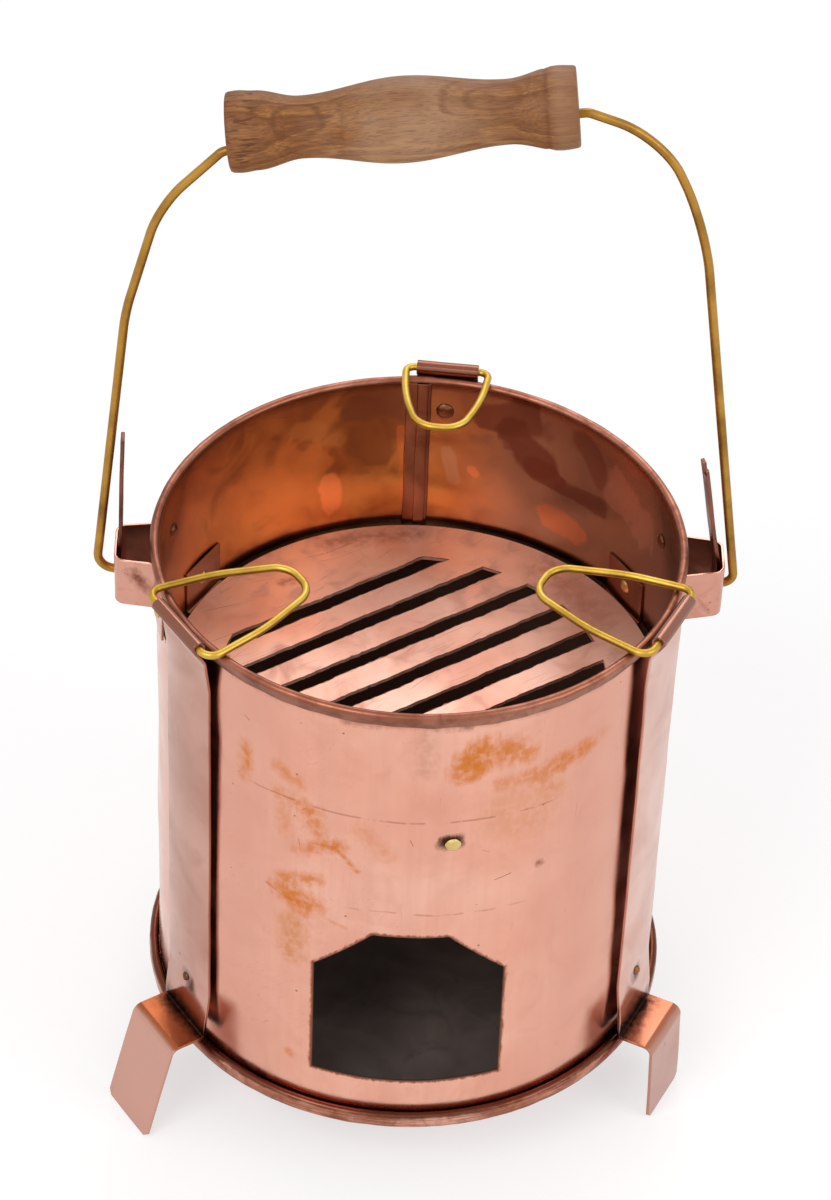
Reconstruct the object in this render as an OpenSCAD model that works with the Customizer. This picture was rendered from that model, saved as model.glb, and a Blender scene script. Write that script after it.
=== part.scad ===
// Hand-made copper charcoal brazier with a carrying bail.
// Origin: on the drum's axis at floor level, +Z up, air door facing -Y.
// A place round the drum is an angle from the front, positive towards +X.

/* [Drum] */
// Outside diameter of the sheet drum
drum_d = 200; // [180:1:220]
// Height of the rim wire's centre above the underside of the base
drum_h = 211.2; // [196:0.2:240]
// Thickness of the drum sheet
drum_sheet = 0.8; // [0.6:0.1:1.2]
// The hem's edge outside ends this far below the wire
rim_hem = 5.2; // [3.5:0.1:8]
// Wire that the rim is rolled round
rim_wire_d = 1.8; // [1.4:0.1:2.4]
// Width of the lock seam that runs up inside the back of the drum
seam_w = 10; // [6:0.5:14]
// How far the lock seam stands in from the wall
seam_t = 1.2; // [0.8:0.1:1.6]

/* [Air door] */
// Width of the opening in the front
door_w = 73; // [50:1:85]
// Width of its level top edge, between the clipped corners
door_top_w = 29; // [15:1:45]
// Height of the opening
door_h = 78; // [60:1:85]
// Height of its upright sides
door_side_h = 57; // [40:1:58]
// Sill above the underside of the base
door_sill = 20.5; // [12:0.5:26]

/* [Base] */
// The base's rolled edge stands this far out past the drum's wall
base_out = 4.1; // [3.9:0.1:5.5]
// Thickness of that rolled edge
base_bead_w = 4; // [3.6:0.1:5]
// It stands up this far above the disc's underside
base_bead_up = 4.2; // [3:0.1:6]
// and hangs this far below it
base_bead_down = 2.8; // [1.5:0.1:4]
// Thickness of the base sheet
base_sheet = 1; // [0.6:0.1:1.4]
// Bend where the disc's underside turns down into the rolled edge
base_bend = 0.6; // [0.4:0.1:0.8]
// Clear height under the base
foot_h = 34; // [28:1:45]

/* [Grate] */
// Gap all round between the loose grate and the wall
grate_gap = 3.2; // [2.6:0.1:5]
// Thickness of the grate
grate_t = 1.5; // [1:0.1:2.5]
// Height of its top face above the underside of the base
grate_level = 141; // [125:1:150]
// Number of slots
slot_n = 7; // [4:1:7]
// Width of a slot
slot_w = 7; // [4:0.5:9]
// Spacing of the slots
slot_pitch = 18; // [14:0.5:18]
// The slots end this far inside the grate's edge
slot_margin = 20; // [14:0.5:30]
// Turn of the slots from the X axis
slot_turn = 34; // [0:1:90]
// Shift of the whole row across the grate
slot_shift = 3.5; // [0:0.5:5]

/* [Grate brackets] */
// Width of each riveted angle bracket
bracket_w = 24; // [14:1:28]
// Height of a bracket above the grate's seat
bracket_h = 19; // [15:0.5:24]
// Reach of the ledge that carries the grate
bracket_reach = 14; // [8:0.5:18]
// Bracket sheet
bracket_t = 1; // [0.8:0.1:1.5]
// Height of the bracket's rivet above the grate's seat
bracket_rivet_up = 10; // [7:0.5:11]
// The same for the front bracket
bracket_front_rivet_up = 6.5; // [5:0.5:11]
// Place of the front bracket round the drum
bracket_front_at = 8.5; // [-10:0.5:12]
// Place of the other two, each side of the front
bracket_side_at = 121; // [110:0.5:130]

/* [Legs] */
// Width of the left leg strap
strap_left_w = 30; // [20:0.5:32]
// Width of the right leg strap
strap_right_w = 28; // [20:0.5:32]
// Width of the back leg's strap
strap_back_w = 24.5; // [20:0.5:27]
// Thickness of the leg straps
strap_t = 1.3; // [1:0.1:1.6]
// Air gap between drum and strap
strap_gap = 2.6; // [1.5:0.1:3]
// Place of the left leg round the drum
leg_left_at = -57.5; // [-62:0.1:-52]
// Place of the right leg
leg_right_at = 63.3; // [55:0.1:64]
// Place of the back leg, set beside the seam
leg_back_at = 173.8; // [170:0.1:178]
// Reach of the foot's shelf from the strap to the outside of the tab
shelf_reach = 16; // [12:0.5:20]
// The left foot's shelf sits this much higher than the others
shelf_left_up = 4.3; // [0:0.1:6]
// Bend radius between shelf and tab
foot_bend = 3; // [1.5:0.5:5]
// Bend radius under the knuckle
neck_bend = 6; // [4:0.5:8]
// The knuckle's bore stands this far outside the middle of the rim's bead
knuckle_out = 5.2; // [4.8:0.1:6]
// The back knuckle stands this much further in
knuckle_back_in = 1.6; // [0:0.1:1.8]
// Outward splay of the left foot's tab
splay_left = 16; // [0:1:18]
// Outward splay of the right foot's tab
splay_right = 1; // [0:1:18]
// Outward splay of the back foot's tab
splay_back = 6; // [0:1:18]
// Clipped corners at the bottom of a tab
foot_clip = 2; // [0.5:0.5:4]

/* [Pot rests] */
// Wire of the pot rests
rest_wire_d = 3; // [2.5:0.1:3.6]
// Reach of the left and right rests over the fire
rest_reach = 53.5; // [40:0.5:60]
// Reach of the back rest
rest_back_reach = 37.5; // [32:0.5:50]
// Width of a rest at its blunt inner end
rest_nose_w = 17; // [16:0.5:22]
// Outward bow of a rest's arms
rest_bow = 2.6; // [0.6:0.2:3]
// Bend radius beside the knuckle, left and right
rest_bend = 5; // [4:0.5:6]
// The same on the back rest
rest_back_bend = 3.5; // [3:0.5:5]
// The left and right rests can slide this far each way in their knuckles
rest_spare = 1.6; // [1.3:0.1:3]
// The left rest lies this far back in its knuckle
rest_left_slid = 1.1; // [-1.2:0.1:1.2]
// and the right rest this far forward
rest_right_slid = 1.1; // [-1.2:0.1:1.2]
// Bend radius at the inner end
rest_nose_bend = 9.5; // [6:0.5:10]
// Bend radius of the bow in its arms
rest_arm_bend = 60; // [40:5:90]

/* [Lugs] */
// Height of the strip that each lug is bent from
lug_h = 21.5; // [16:0.5:26]
// The middle of the strip stands this much above the bail's pivot
lug_up = 2.2; // [0:0.1:4]
// Thickness of the lug strip
lug_t = 1; // [0.8:0.1:1.4]
// Reach of a lug from the drum wall to its outer face
lug_reach = 17; // [14:0.5:22]
// The left lug reaches this much less far
lug_left_in = 0.7; // [0:0.1:2]
// Width of the right lug at its outer wall
lug_out_w = 19; // [16:0.5:24]
// Width of the left lug at its outer wall
lug_left_out_w = 21.5; // [16:0.5:24]
// Width of a lug at the drum
lug_root_w = 25; // [20:0.5:28]
// Bend radius at the lug's outer corners
lug_bend = 4; // [2:0.5:5]
// Length of the flange each side, along the drum
flange_len = 20; // [16:0.5:22]
// Height of the bail's pivot above the underside of the base
pivot_level = 191; // [185:1:196]
// The bail's pivot is set this far behind the drum's centre
lug_back = 4.5; // [0:0.5:8]

/* [Handle stays] */
// Width of the flat stay that stands in each lug
stay_w = 6; // [5:0.5:8]
// Thickness of a stay
stay_t = 1.5; // [1:0.1:2]
// Height of a stay above the pivot
stay_h = 64.5; // [40:0.5:80]
// The right stay is this much shorter
stay_right_less = 4.5; // [0:0.5:10]
// Inward lean of the left stay
stay_lean_left = 1.5; // [0:0.5:8]
// Inward lean of the right stay
stay_lean_right = 9.5; // [0:0.5:10]
// Turn of the right stay about its own length
stay_turn = 14; // [0:1:18]
// Depth of the notch in the right stay's top
stay_notch = 3; // [2:0.5:8]
// Bend radius where a stay leaves its lug
stay_bend = 12; // [8:1:20]

/* [Bail] */
// Brass wire of the bail
bail_wire_d = 3.5; // [3:0.1:4.2]
// Height of the wire above the pivot, at the middle of the grip
bail_h = 205.5; // [190:0.5:220]
// Slope of the wire through the grip, up to the right
bail_tilt = 9; // [0:0.5:12]
// Gap between the right lug's outer face and the bail's leg
bail_leg_gap = 3; // [2:0.5:5]
// The bail's left leg stands this much further out than the right
bail_left_out = 1.8; // [0:0.1:3]
// Head that each end of the wire is hammered into
bail_head_d = 6; // [5:0.5:7]
// Thickness of those heads
bail_head_t = 1.2; // [1:0.1:1.5]
// Lower bend of the left leg: how far inside the leg, how far below the grip, bend radius
bail_left_low = [12.3, 83, 90]; // [0:0.1:150]
// Upper bend of the left leg, given in the same way
bail_left_high = [24.9, 35, 50]; // [0:0.1:150]
// Lower bend of the right leg
bail_right_low = [22.7, 38, 135]; // [0:0.1:150]
// Upper bend of the right leg
bail_right_high = [40.7, -0.2, 42]; // [-5:0.1:150]
// Bend radius beside the grip's ends
bail_grip_bend = 5; // [4:0.5:8]
// The wire bends this far clear of the grip's ends
bail_grip_gap = 3.2; // [3:0.1:6]

/* [Grip] */
// Length of the turned grip
grip_l = 125; // [110:1:130]
// Shift of the grip to the left of the drum's centre
grip_shift = 11; // [0:0.5:14]
// Diameter at its flared ends
grip_end_d = 29.4; // [26:0.2:33]
// Diameter at the necks
grip_neck_d = 22.4; // [20:0.2:25]
// Diameter at the middle swelling
grip_belly_d = 31; // [28:0.2:34]
// The bore is drilled askew: this far below the turned centre at the left end
bore_drop_left = 7.7; // [0:0.1:8]
// and this far below it at the right end
bore_drop_right = 3; // [0:0.1:5]
// Clearance round the wire inside the grip
grip_play = 0.08; // [0.03:0.01:0.08]

/* [Fasteners] */
// Shank of the brass rivets
rivet_d = 3; // [2.4:0.1:3.6]
// Head of the brass rivets
rivet_head_d = 6; // [5:0.2:7]
// Height of a rivet head
rivet_head_h = 1.3; // [0.8:0.1:1.6]
// Height of the straps' upper rivets below the rim wire's centre
strap_rivet_down = 13.2; // [11:0.2:17]
// Height of the straps' lower rivets above the underside of the base
strap_rivet_up = 31; // [24:0.5:36]
// Small hammered heads in the dints outside
dint_head_d = 4.5; // [4:0.1:5]
// Depth of the dint round each of the straps' lower rivets
dint_depth = 0.6; // [0.3:0.1:0.8]
// Depth of the dint round the front bracket's rivet
front_dint_depth = 0.5; // [0.3:0.1:0.6]
// Reach of the dints round their rivets
dint_r = 4.8; // [4:0.1:6]

/* [Hidden] */
$fn = 96;
copper = [0.87, 0.62, 0.52];
old_copper = [0.66, 0.38, 0.27];
brass = [0.79, 0.64, 0.25];
wood = [0.66, 0.46, 0.30];
seat_gap = 0.3;      // between round faces that rest on each other
run_gap = 0.05;      // round a wire or rivet in its hole
eps = 0.01;
big = 400;
arc_steps = 8;       // chords in one bend of a strip
wire_step = 0.02;    // a wire's straights are this much finer than its bends
wire_lap = 0.1;      // and run this far into them
drum_r = drum_d / 2;
drum_in = drum_r - drum_sheet;
base_z = foot_h;
floor_z = base_z + base_sheet;
rim_z = base_z + drum_h;
rim_bead_r = rim_wire_d / 2 + run_gap + drum_sheet;
rim_r = drum_in + rim_bead_r + 0.05;    // the wall runs straight up inside the bead
base_bead_r = base_bead_w / 2;
base_bead_at = drum_r + base_out - base_bead_r;
grate_d = 2 * (drum_in - grate_gap);
slot_circle_d = grate_d - 2 * slot_margin;
grate_z = base_z + grate_level - grate_t;
seat_z = grate_z - seat_gap / 2;
bracket_r = drum_in - 0.1;
strap_in = drum_r + strap_gap;
strap_mid = strap_in + strap_t / 2;
rest_r = rest_wire_d / 2;
knuckle_bore_r = rest_r + run_gap;
knuckle_r = knuckle_bore_r + strap_t;
knuckle_z = rim_z + rim_bead_r + rest_r + seat_gap;
knuckle_at = rim_r + knuckle_out;
knuckle_back_at = knuckle_at - knuckle_back_in;
shelf_z = base_z + base_bead_up + seat_gap;
lug_x = drum_r + lug_reach;
pivot_z = base_z + pivot_level;
bail_r = bail_wire_d / 2;
leg_x = lug_x + bail_leg_gap + bail_r;
upper_rivet_z = rim_z - strap_rivet_down;
lower_rivet_z = base_z + strap_rivet_up;
bracket_rivet_zs = [for (up = [bracket_rivet_up, bracket_rivet_up, bracket_front_rivet_up]) seat_z + up];
leg_places = [leg_left_at, leg_right_at, leg_back_at];
bracket_places = [-bracket_side_at, bracket_side_at, bracket_front_at];
rivet_r = rivet_d / 2;
hole_r = rivet_r + run_gap;
flange_r = drum_r + lug_t / 2 + 0.05;
lug_low = pivot_z + lug_up - lug_h / 2;
lug_top = lug_low + lug_h;
right_wall = drum_r + lug_reach - lug_t;
left_wall = right_wall - lug_left_in;

// ---- geometry helpers

function unit(v) = v / norm(v);
function flip(v) = [for (i = [len(v) - 1:-1:0]) v[i]];
function spin(v, a) = [v.x * cos(a) - v.y * sin(a), v.x * sin(a) + v.y * cos(a)];
function turn(a, b, c) = let (p = b - a, q = c - b) atan2(p.x * q.y - p.y * q.x, p * q);
function setback(a, b, c, r) = r * tan(abs(turn(a, b, c)) / 2);

// Points of the arc of radius r that rounds the corner a-b-c
function round_corner(a, b, c, r) =
    let (t = turn(a, b, c), from = b - setback(a, b, c, r) * unit(b - a),
         o = from + r * sign(t) * spin(unit(b - a), 90))
    [for (i = [0:arc_steps]) o + spin(from - o, t * i / arc_steps)];

// A path through corners, each rounded by its own radius
function bent_path(p, r) = [p[0],
    for (i = [1:len(p) - 2]) each round_corner(p[i - 1], p[i], p[i + 1], r[i - 1]),
    p[len(p) - 1]];

// One side of a strip that follows a path, d to its left
function strip_side(p, d) = [for (i = [0:len(p) - 1])
    let (a = i == 0 ? unit(p[1] - p[0]) : unit(p[i] - p[i - 1]),
         b = i == len(p) - 1 ? a : unit(p[i + 1] - p[i]),
         m = unit(a + b))
    p[i] + d / (m * a) * spin(m, 90)];

// Cross-section of sheet metal of thickness t bent along a path
module strip(p, t) {
    polygon(concat(strip_side(p, t / 2), flip(strip_side(p, -t / 2))));
}

// Round wire of diameter d bent in the XY plane through corners p with bend radii r.
// A closed wire has a radius for every corner. The straights are drawn finer by wire_step
// and run a little into the bends, so that the pieces join cleanly.
module wire(p, r, d, closed = false) {
    n = len(p);
    rr = closed ? r : concat([0], r, [0]);
    k = [for (i = [0:n - 1])
        !closed && (i == 0 || i == n - 1) ? 0 : setback(p[(i + n - 1) % n], p[i], p[(i + 1) % n], rr[i])];
    for (i = [0:closed ? n - 1 : n - 2]) {
        j = (i + 1) % n;
        v = unit(p[j] - p[i]);
        low = k[i] - (k[i] > 0 ? wire_lap : 0);
        high = k[j] - (k[j] > 0 ? wire_lap : 0);
        translate(p[i] + low * v)
            rotate([0, 90, atan2(v.y, v.x)])
                cylinder(d = d - wire_step, h = norm(p[j] - p[i]) - low - high);
    }
    for (i = [closed ? 0 : 1:closed ? n - 1 : n - 2]) {
        a = p[(i + n - 1) % n];
        b = p[i];
        c = p[(i + 1) % n];
        t = turn(a, b, c);
        from = b - k[i] * unit(b - a);
        o = from + rr[i] * sign(t) * spin(unit(b - a), 90);
        start = atan2(from.y - o.y, from.x - o.x) + min(t, 0);
        translate(o)
            rotate(start)
                rotate_extrude(angle = abs(t))
                    translate([rr[i], 0])
                        circle(d = d);
    }
}

// Places its children at an angle from the front, with local +X pointing outwards
module at_place(a) {
    rotate(a - 90) children();
}

// Level hole that points outwards, from radius a to radius b
module radial_bar(a, b, r, z) {
    translate([a, 0, z])
        rotate([0, 90, 0])
            cylinder(r = r, h = b - a);
}

// Rivet's shank between radii a and b, run a little into its heads
module shank(a, b, z) {
    radial_bar(a - 0.4, b + 0.4, rivet_r, z);
}

// Shallow domed rivet head at radius a, pointing outwards or inwards
module rivet_head(a, z, out = 1, d = rivet_head_d) {
    dome_r = (d * d / 4 + rivet_head_h * rivet_head_h) / (2 * rivet_head_h);
    translate([a, 0, z])
        rotate([0, 90 * out, 0])
            rotate_extrude()
                intersection() {
                    translate([0, rivet_head_h - dome_r]) circle(r = dome_r);
                    square([d, rivet_head_h]);
                }
}

// ---- drum, rim and base

module bead_section(r, inner_r) {
    translate([rim_r, rim_z])
        difference() {
            circle(r = r);
            circle(r = inner_r);
        }
}

// The wall's sheet runs up, over the wire and down outside into a flattened hem
module wall_section() {
    difference() {
        union() {
            translate([drum_in, floor_z]) square([drum_sheet, rim_z - floor_z]);
            translate([rim_r, rim_z]) circle(r = rim_bead_r);
            polygon([[drum_r - drum_sheet / 2, rim_z - rim_hem], [drum_r + drum_sheet, rim_z - rim_hem],
                [rim_r + 0.9 * rim_bead_r, rim_z], [rim_r, rim_z]]);
        }
        translate([rim_r, rim_z]) circle(r = rim_wire_d / 2 + run_gap);
    }
}

module door_cut() {
    rotate([90, 0, 0])
        linear_extrude(height = big)
            translate([0, base_z + door_sill])
                polygon([[-door_w / 2, 0], [door_w / 2, 0], [door_w / 2, door_side_h],
                    [door_top_w / 2, door_h], [-door_top_w / 2, door_h], [-door_w / 2, door_side_h]]);
}

// Shallow round dint left by the hammer round a rivet
module dint(a, z, depth, r) {
    ball = (r * r + depth * depth) / (2 * depth);
    translate([a + ball - depth, 0, z]) sphere(r = ball);
}

// How far a small head sits down in a dint of that depth
function head_sink(depth) = depth * (1 - pow(dint_head_d / 2 / dint_r, 2)) - run_gap;

module drum() {
    color(copper)
        difference() {
            union() {
                rotate_extrude() wall_section();
                lock_seam();
            }
            door_cut();
            for (a = leg_places) at_place(a) {
                radial_bar(drum_in - 5, drum_r + 1, hole_r, upper_rivet_z);
                radial_bar(drum_in - 5, drum_r + 1, hole_r, lower_rivet_z);
            }
            for (i = [0:2])
                at_place(bracket_places[i]) radial_bar(drum_in - 5, drum_r + 1, hole_r, bracket_rivet_zs[i]);
            for (s = [-1, 1], b = [-1, 1])
                at_place(lug_rivet_place(s, b)) radial_bar(drum_in - 5, drum_r + 1, hole_r, pivot_z);
            at_place(bracket_front_at) dint(drum_r, bracket_rivet_zs[2], front_dint_depth, dint_r);
        }
}

// Folded seam inside the back, with the lap that it leaves on the rim bead
module lock_seam() {
    lap = 5;
    intersection() {
        rotate_extrude()
            translate([drum_in - seam_t, floor_z])
                square([seam_t + drum_sheet / 2, rim_z + 0.5 - floor_z]);
        translate([-seam_w / 2, 0, 0]) cube([seam_w, big, big]);
    }
    rotate(90 - lap / 2)
        rotate_extrude(angle = lap)
            bead_section(rim_bead_r + 0.4, rim_bead_r - 0.3);
}

module rim_wire() {
    color(old_copper)
        rotate_extrude()
            translate([rim_r, rim_z])
                circle(d = rim_wire_d);
}

// Section of the base's rolled edge, or of its hollow, with round ends of radius r
module base_edge(r) {
    low = base_bead_r - base_bead_down;
    high = base_bead_up - base_bead_r;
    for (z = [low, high]) translate([base_bead_at, z]) circle(r = r);
    translate([base_bead_at - r + wire_step / 2, low]) square([2 * r - wire_step, high - low]);
}

module base_plate() {
    color(copper)
        translate([0, 0, base_z])
            rotate_extrude() {
                square([base_bead_at, base_sheet]);
                translate([base_bead_at - base_bead_r, 0])
                    polygon([[-base_bend, base_sheet / 2], [-base_bend, 0],
                        [0.4, -base_bend - 0.4], [0.4, base_sheet / 2]]);
                difference() {
                    base_edge(base_bead_r);
                    base_edge(base_bead_r - 0.8);
                }
            }
}

// ---- grate and its brackets

module grate() {
    color(copper)
        translate([0, 0, grate_z])
            difference() {
                cylinder(d = grate_d, h = grate_t);
                translate([0, 0, -1])
                    intersection() {
                        cylinder(d = slot_circle_d, h = grate_t + 2);
                        rotate(slot_turn)
                            for (i = [0:slot_n - 1]) {
                                mid = slot_shift + (i - (slot_n - 1) / 2) * slot_pitch;
                                translate([-big / 2, mid - slot_w / 2, 0])
                                    cube([big, slot_w, grate_t + 2]);
                            }
                    }
            }
}

module grate_bracket(i) {
    color(old_copper)
        at_place(bracket_places[i])
            difference() {
                intersection() {
                    rotate(-15)
                        rotate_extrude(angle = 30)
                            translate([bracket_r, seat_z])
                                polygon([[-bracket_reach, -bracket_t], [0, -bracket_t], [0, bracket_h],
                                    [-bracket_t, bracket_h], [-bracket_t, 0], [-bracket_reach, 0]]);
                    translate([0, -bracket_w / 2, 0]) cube([big, bracket_w, big]);
                }
                radial_bar(bracket_r - 5, bracket_r + 5, hole_r, bracket_rivet_zs[i]);
            }
}

module grate_bracket_left() { grate_bracket(0); }
module grate_bracket_right() { grate_bracket(1); }
module grate_bracket_front() { grate_bracket(2); }

// ---- legs: one strap each, rolled into a knuckle at the top and folded into a foot

function leg_path(splay, up, at) =
    let (shelf_mid = shelf_z + up + strap_t / 2,
         tab_at = strap_in + shelf_reach - strap_t / 2)
    bent_path([
        [at + knuckle_r - strap_t / 2, knuckle_z],
        [strap_mid, rim_z - rim_hem],
        [strap_mid, shelf_mid],
        [tab_at, shelf_mid],
        [tab_at + (shelf_mid + 2) * tan(splay), -2]],
        [neck_bend, strap_t, foot_bend + strap_t / 2]);

module leg(a, splay, width, up = 0, at = knuckle_at) {
    color(copper)
        at_place(a)
            difference() {
                union() {
                    rotate([90, 0, 0])
                        linear_extrude(height = width, center = true)
                            strip(leg_path(splay, up, at), strap_t);
                    translate([at, 0, knuckle_z])
                        rotate([90, 0, 0])
                            cylinder(r = knuckle_r, h = width, center = true);
                }
                translate([at, 0, knuckle_z])
                    rotate([90, 0, 0])
                        cylinder(r = knuckle_bore_r, h = width + 2, center = true);
                knuckle_slit(at, width);
                translate([0, -big / 2, -big]) cube(big);
                for (s = [-1, 1])
                    translate([0, s * width / 2, 0])
                        rotate([45, 0, 0])
                            cube([big, foot_clip * sqrt(2), foot_clip * sqrt(2)], center = true);
                radial_bar(drum_r, strap_in + 5, hole_r, upper_rivet_z);
                radial_bar(drum_r, strap_in + 5, hole_r, lower_rivet_z);
                dint(strap_in + strap_t, lower_rivet_z, dint_depth, dint_r);
            }
}

// Where the end of the rolled sheet stops short of the strap
module knuckle_slit(at, width) {
    translate([at, 0, knuckle_z])
        rotate([0, 140, 0])
            translate([0, -width / 2 - 1, -0.25])
                cube([knuckle_r + 1, width + 2, 0.5]);
}

module leg_left() { leg(leg_left_at, splay_left, strap_left_w, shelf_left_up); }
module leg_right() { leg(leg_right_at, splay_right, strap_right_w); }
module leg_back() { leg(leg_back_at, splay_back, strap_back_w, 0, knuckle_back_at); }

// ---- pot rests: closed wire loops that turn in the knuckles

module pot_rest(a, reach, width, bend, spare, slid, at = knuckle_at) {
    root = width / 2 + 1.25 * bend + spare;
    nose = rest_nose_w / 2;
    arm = (root + nose) / 2 + rest_bow;
    color(brass)
        at_place(a)
            translate([at, slid, knuckle_z])
                wire([[0, -root], [0, root], [-reach / 2, arm],
                        [-reach, nose], [-reach, -nose], [-reach / 2, -arm]],
                    [bend, bend, rest_arm_bend, rest_nose_bend, rest_nose_bend, rest_arm_bend],
                    rest_wire_d, closed = true);
}

module pot_rest_left() {
    pot_rest(leg_left_at, rest_reach, strap_left_w, rest_bend, rest_spare, -rest_left_slid);
}

module pot_rest_right() {
    pot_rest(leg_right_at, rest_reach, strap_right_w, rest_bend, rest_spare, -rest_right_slid);
}

module pot_rest_back() {
    pot_rest(leg_back_at, rest_back_reach, strap_back_w, rest_back_bend, 0, 0, knuckle_back_at);
}

// ---- lugs that carry the bail, and the stays that stand in them

function on_flange(a) = flange_r * [cos(a), sin(a)];
function flange_arc(from, to) = [for (i = [0:arc_steps]) on_flange(from + (to - from) * i / arc_steps)];
function root_angle(s) = asin((lug_back + s * lug_root_w / 2) / flange_r);
function flange_end(s) = root_angle(s) + s * flange_len / flange_r * 180 / PI;
// Place round the drum of the rivet in flange b (-1 front, 1 back) of the lug on side s
function lug_rivet_place(s, b) =
    s * (90 + root_angle(b) + b * 0.6 * flange_len / flange_r * 180 / PI);

function lug_path(reach, width) =
    let (out = drum_r + reach - lug_t / 2)
    concat(
        flange_arc(flange_end(-1), root_angle(-1)),
        round_corner(on_flange(root_angle(-1)), [out, lug_back - width / 2 + lug_t / 2],
            [out, lug_back], lug_bend),
        round_corner([out, lug_back], [out, lug_back + width / 2 - lug_t / 2],
            on_flange(root_angle(1)), lug_bend),
        flange_arc(root_angle(1), flange_end(1)));

module lug(reach, width) {
    color(copper)
        difference() {
            translate([0, 0, lug_low])
                linear_extrude(height = lug_h)
                    strip(lug_path(reach, width), lug_t);
            translate([0, lug_back, 0])
                radial_bar(lug_x - 5, lug_x + 5, bail_r + run_gap, pivot_z);
            for (b = [-1, 1])
                at_place(lug_rivet_place(1, b))
                    radial_bar(drum_r - 5, drum_r + 5, hole_r, pivot_z);
        }
}

module lug_right() { lug(lug_reach, lug_out_w); }
module lug_left() { mirror([1, 0, 0]) lug(lug_reach - lug_left_in, lug_left_out_w); }

// How far a stay of that turn stands from the lug's wall to its own middle
function stay_off(turned) = (stay_t * cos(turned) + stay_w * sin(turned)) / 2 + seat_gap;

module handle_stay(wall, height, lean, turned, notch) {
    x = wall - stay_off(turned);
    low = lug_low + 2;
    bend = lug_top - 3;
    top = pivot_z + height;
    color(old_copper)
        difference() {
            translate([x, lug_back, 0])
                rotate(turned)
                    difference() {
                        rotate([90, 0, 0])
                            linear_extrude(height = stay_w, center = true)
                                strip(bent_path([[0, low], [0, bend], [-(top - bend) * tan(lean), top]],
                                    [stay_bend]), stay_t);
                        if (notch > 0)
                            translate([-big / 2, -stay_w, top - notch])
                                cube([big, stay_w, big]);
                    }
            translate([0, lug_back, 0])
                radial_bar(x - 5, x + 5, bail_r + run_gap, pivot_z);
        }
}

module handle_stay_right() {
    handle_stay(right_wall, stay_h - stay_right_less, stay_lean_right, stay_turn, stay_notch);
}

module handle_stay_left() {
    mirror([1, 0, 0]) handle_stay(left_wall, stay_h, stay_lean_left, 0, 0);
}

// ---- bail and grip

// Points in the bail's plane: x across, y up from the pivot.
grip_mid = [-grip_shift, bail_h];
grip_dir = [cos(bail_tilt), sin(bail_tilt)];
function along_grip(s) = grip_mid + s * grip_dir;
grip_corner = grip_l / 2 + bail_grip_gap;
left_x = leg_x + bail_left_out;
function left_bend(b) = [b[0] - left_x, bail_h - b[1]];
function right_bend(b) = [leg_x - b[0], bail_h - b[1]];
foot_bend_right = leg_x - lug_x - seat_gap;    // the wire turns down just outside the lugs
foot_bend_left = left_x - (lug_x - lug_left_in) - seat_gap;

module bail_wire() {
    head_right = right_wall - 2 * stay_off(stay_turn);
    head_left = left_wall - 2 * stay_off(0);
    color(brass)
        translate([0, lug_back, pivot_z]) {
            rotate([90, 0, 0])
                wire([[bail_head_t / 2 - head_left, 0], [-left_x, 0], left_bend(bail_left_low),
                        left_bend(bail_left_high), along_grip(-grip_corner), along_grip(grip_corner),
                        right_bend(bail_right_high), right_bend(bail_right_low), [leg_x, 0],
                        [head_right - bail_head_t / 2, 0]],
                    [foot_bend_left, bail_left_low[2], bail_left_high[2], bail_grip_bend, bail_grip_bend,
                        bail_right_high[2], bail_right_low[2], foot_bend_right], bail_wire_d);
            bail_head(-head_left);
            bail_head(head_right);
        }
}

// Head that the wire's end is hammered into, inside a stay
module bail_head(x) {
    translate([x, 0, 0])
        rotate([0, x > 0 ? -90 : 90, 0])
            cylinder(d = bail_head_d, h = bail_head_t);
}

// Radius of the turned grip at a share u of its length: the flared ends, necks and belly
// are levels that follow each other, blended by half cosine waves
function blend(a, b, u) = a + (b - a) * (1 - cos(180 * u)) / 2;
grip_levels = [[0, grip_end_d - 0.6], [0.035, grip_end_d], [0.08, grip_end_d - 1], [0.21, grip_neck_d],
    [0.5, grip_belly_d], [0.80, grip_neck_d + 0.9], [0.95, grip_end_d + 0.8], [1, grip_end_d]];
function grip_r(u) =
    let (k = [for (i = [0:len(grip_levels) - 2]) if (u <= grip_levels[i + 1][0] + eps / 100) i][0],
         a = grip_levels[k], b = grip_levels[k + 1])
    blend(a[1], b[1], (u - a[0]) / (b[0] - a[0])) / 2;

module grip() {
    steps = 60;
    mean_drop = (bore_drop_left + bore_drop_right) / 2;
    skew = asin((bore_drop_left - bore_drop_right) / grip_l);
    color(wood)
        translate([grip_mid.x, lug_back, pivot_z + grip_mid.y])
            rotate([0, -bail_tilt, 0])
                difference() {
                    translate([0, 0, mean_drop])
                        rotate([0, skew, 0])
                            rotate([0, 90, 0])
                                rotate_extrude()
                                    polygon([[0, -grip_l / 2],
                                        for (i = [0:steps]) [grip_r(i / steps), grip_l * (i / steps - 0.5)],
                                        [0, grip_l / 2]]);
                    rotate([0, 90, 0])
                        cylinder(r = bail_r + grip_play, h = big, center = true);
                }
}

// ---- rivets

module strap_rivets_upper() {
    color(old_copper)
        for (a = leg_places) at_place(a) {
            radial_bar(drum_in - 0.5, strap_in + strap_t, rivet_r, upper_rivet_z);
            rivet_head(drum_in - 0.1, upper_rivet_z, -1, rivet_head_d + 1);
        }
}

module strap_rivets_lower() {
    dint_floor = strap_in + strap_t - head_sink(dint_depth);
    color(brass)
        for (a = leg_places) at_place(a) {
            shank(drum_in - 0.1, dint_floor, lower_rivet_z);
            rivet_head(drum_in - 0.1, lower_rivet_z, -1);
            rivet_head(dint_floor, lower_rivet_z, 1, dint_head_d);
        }
}

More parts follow.
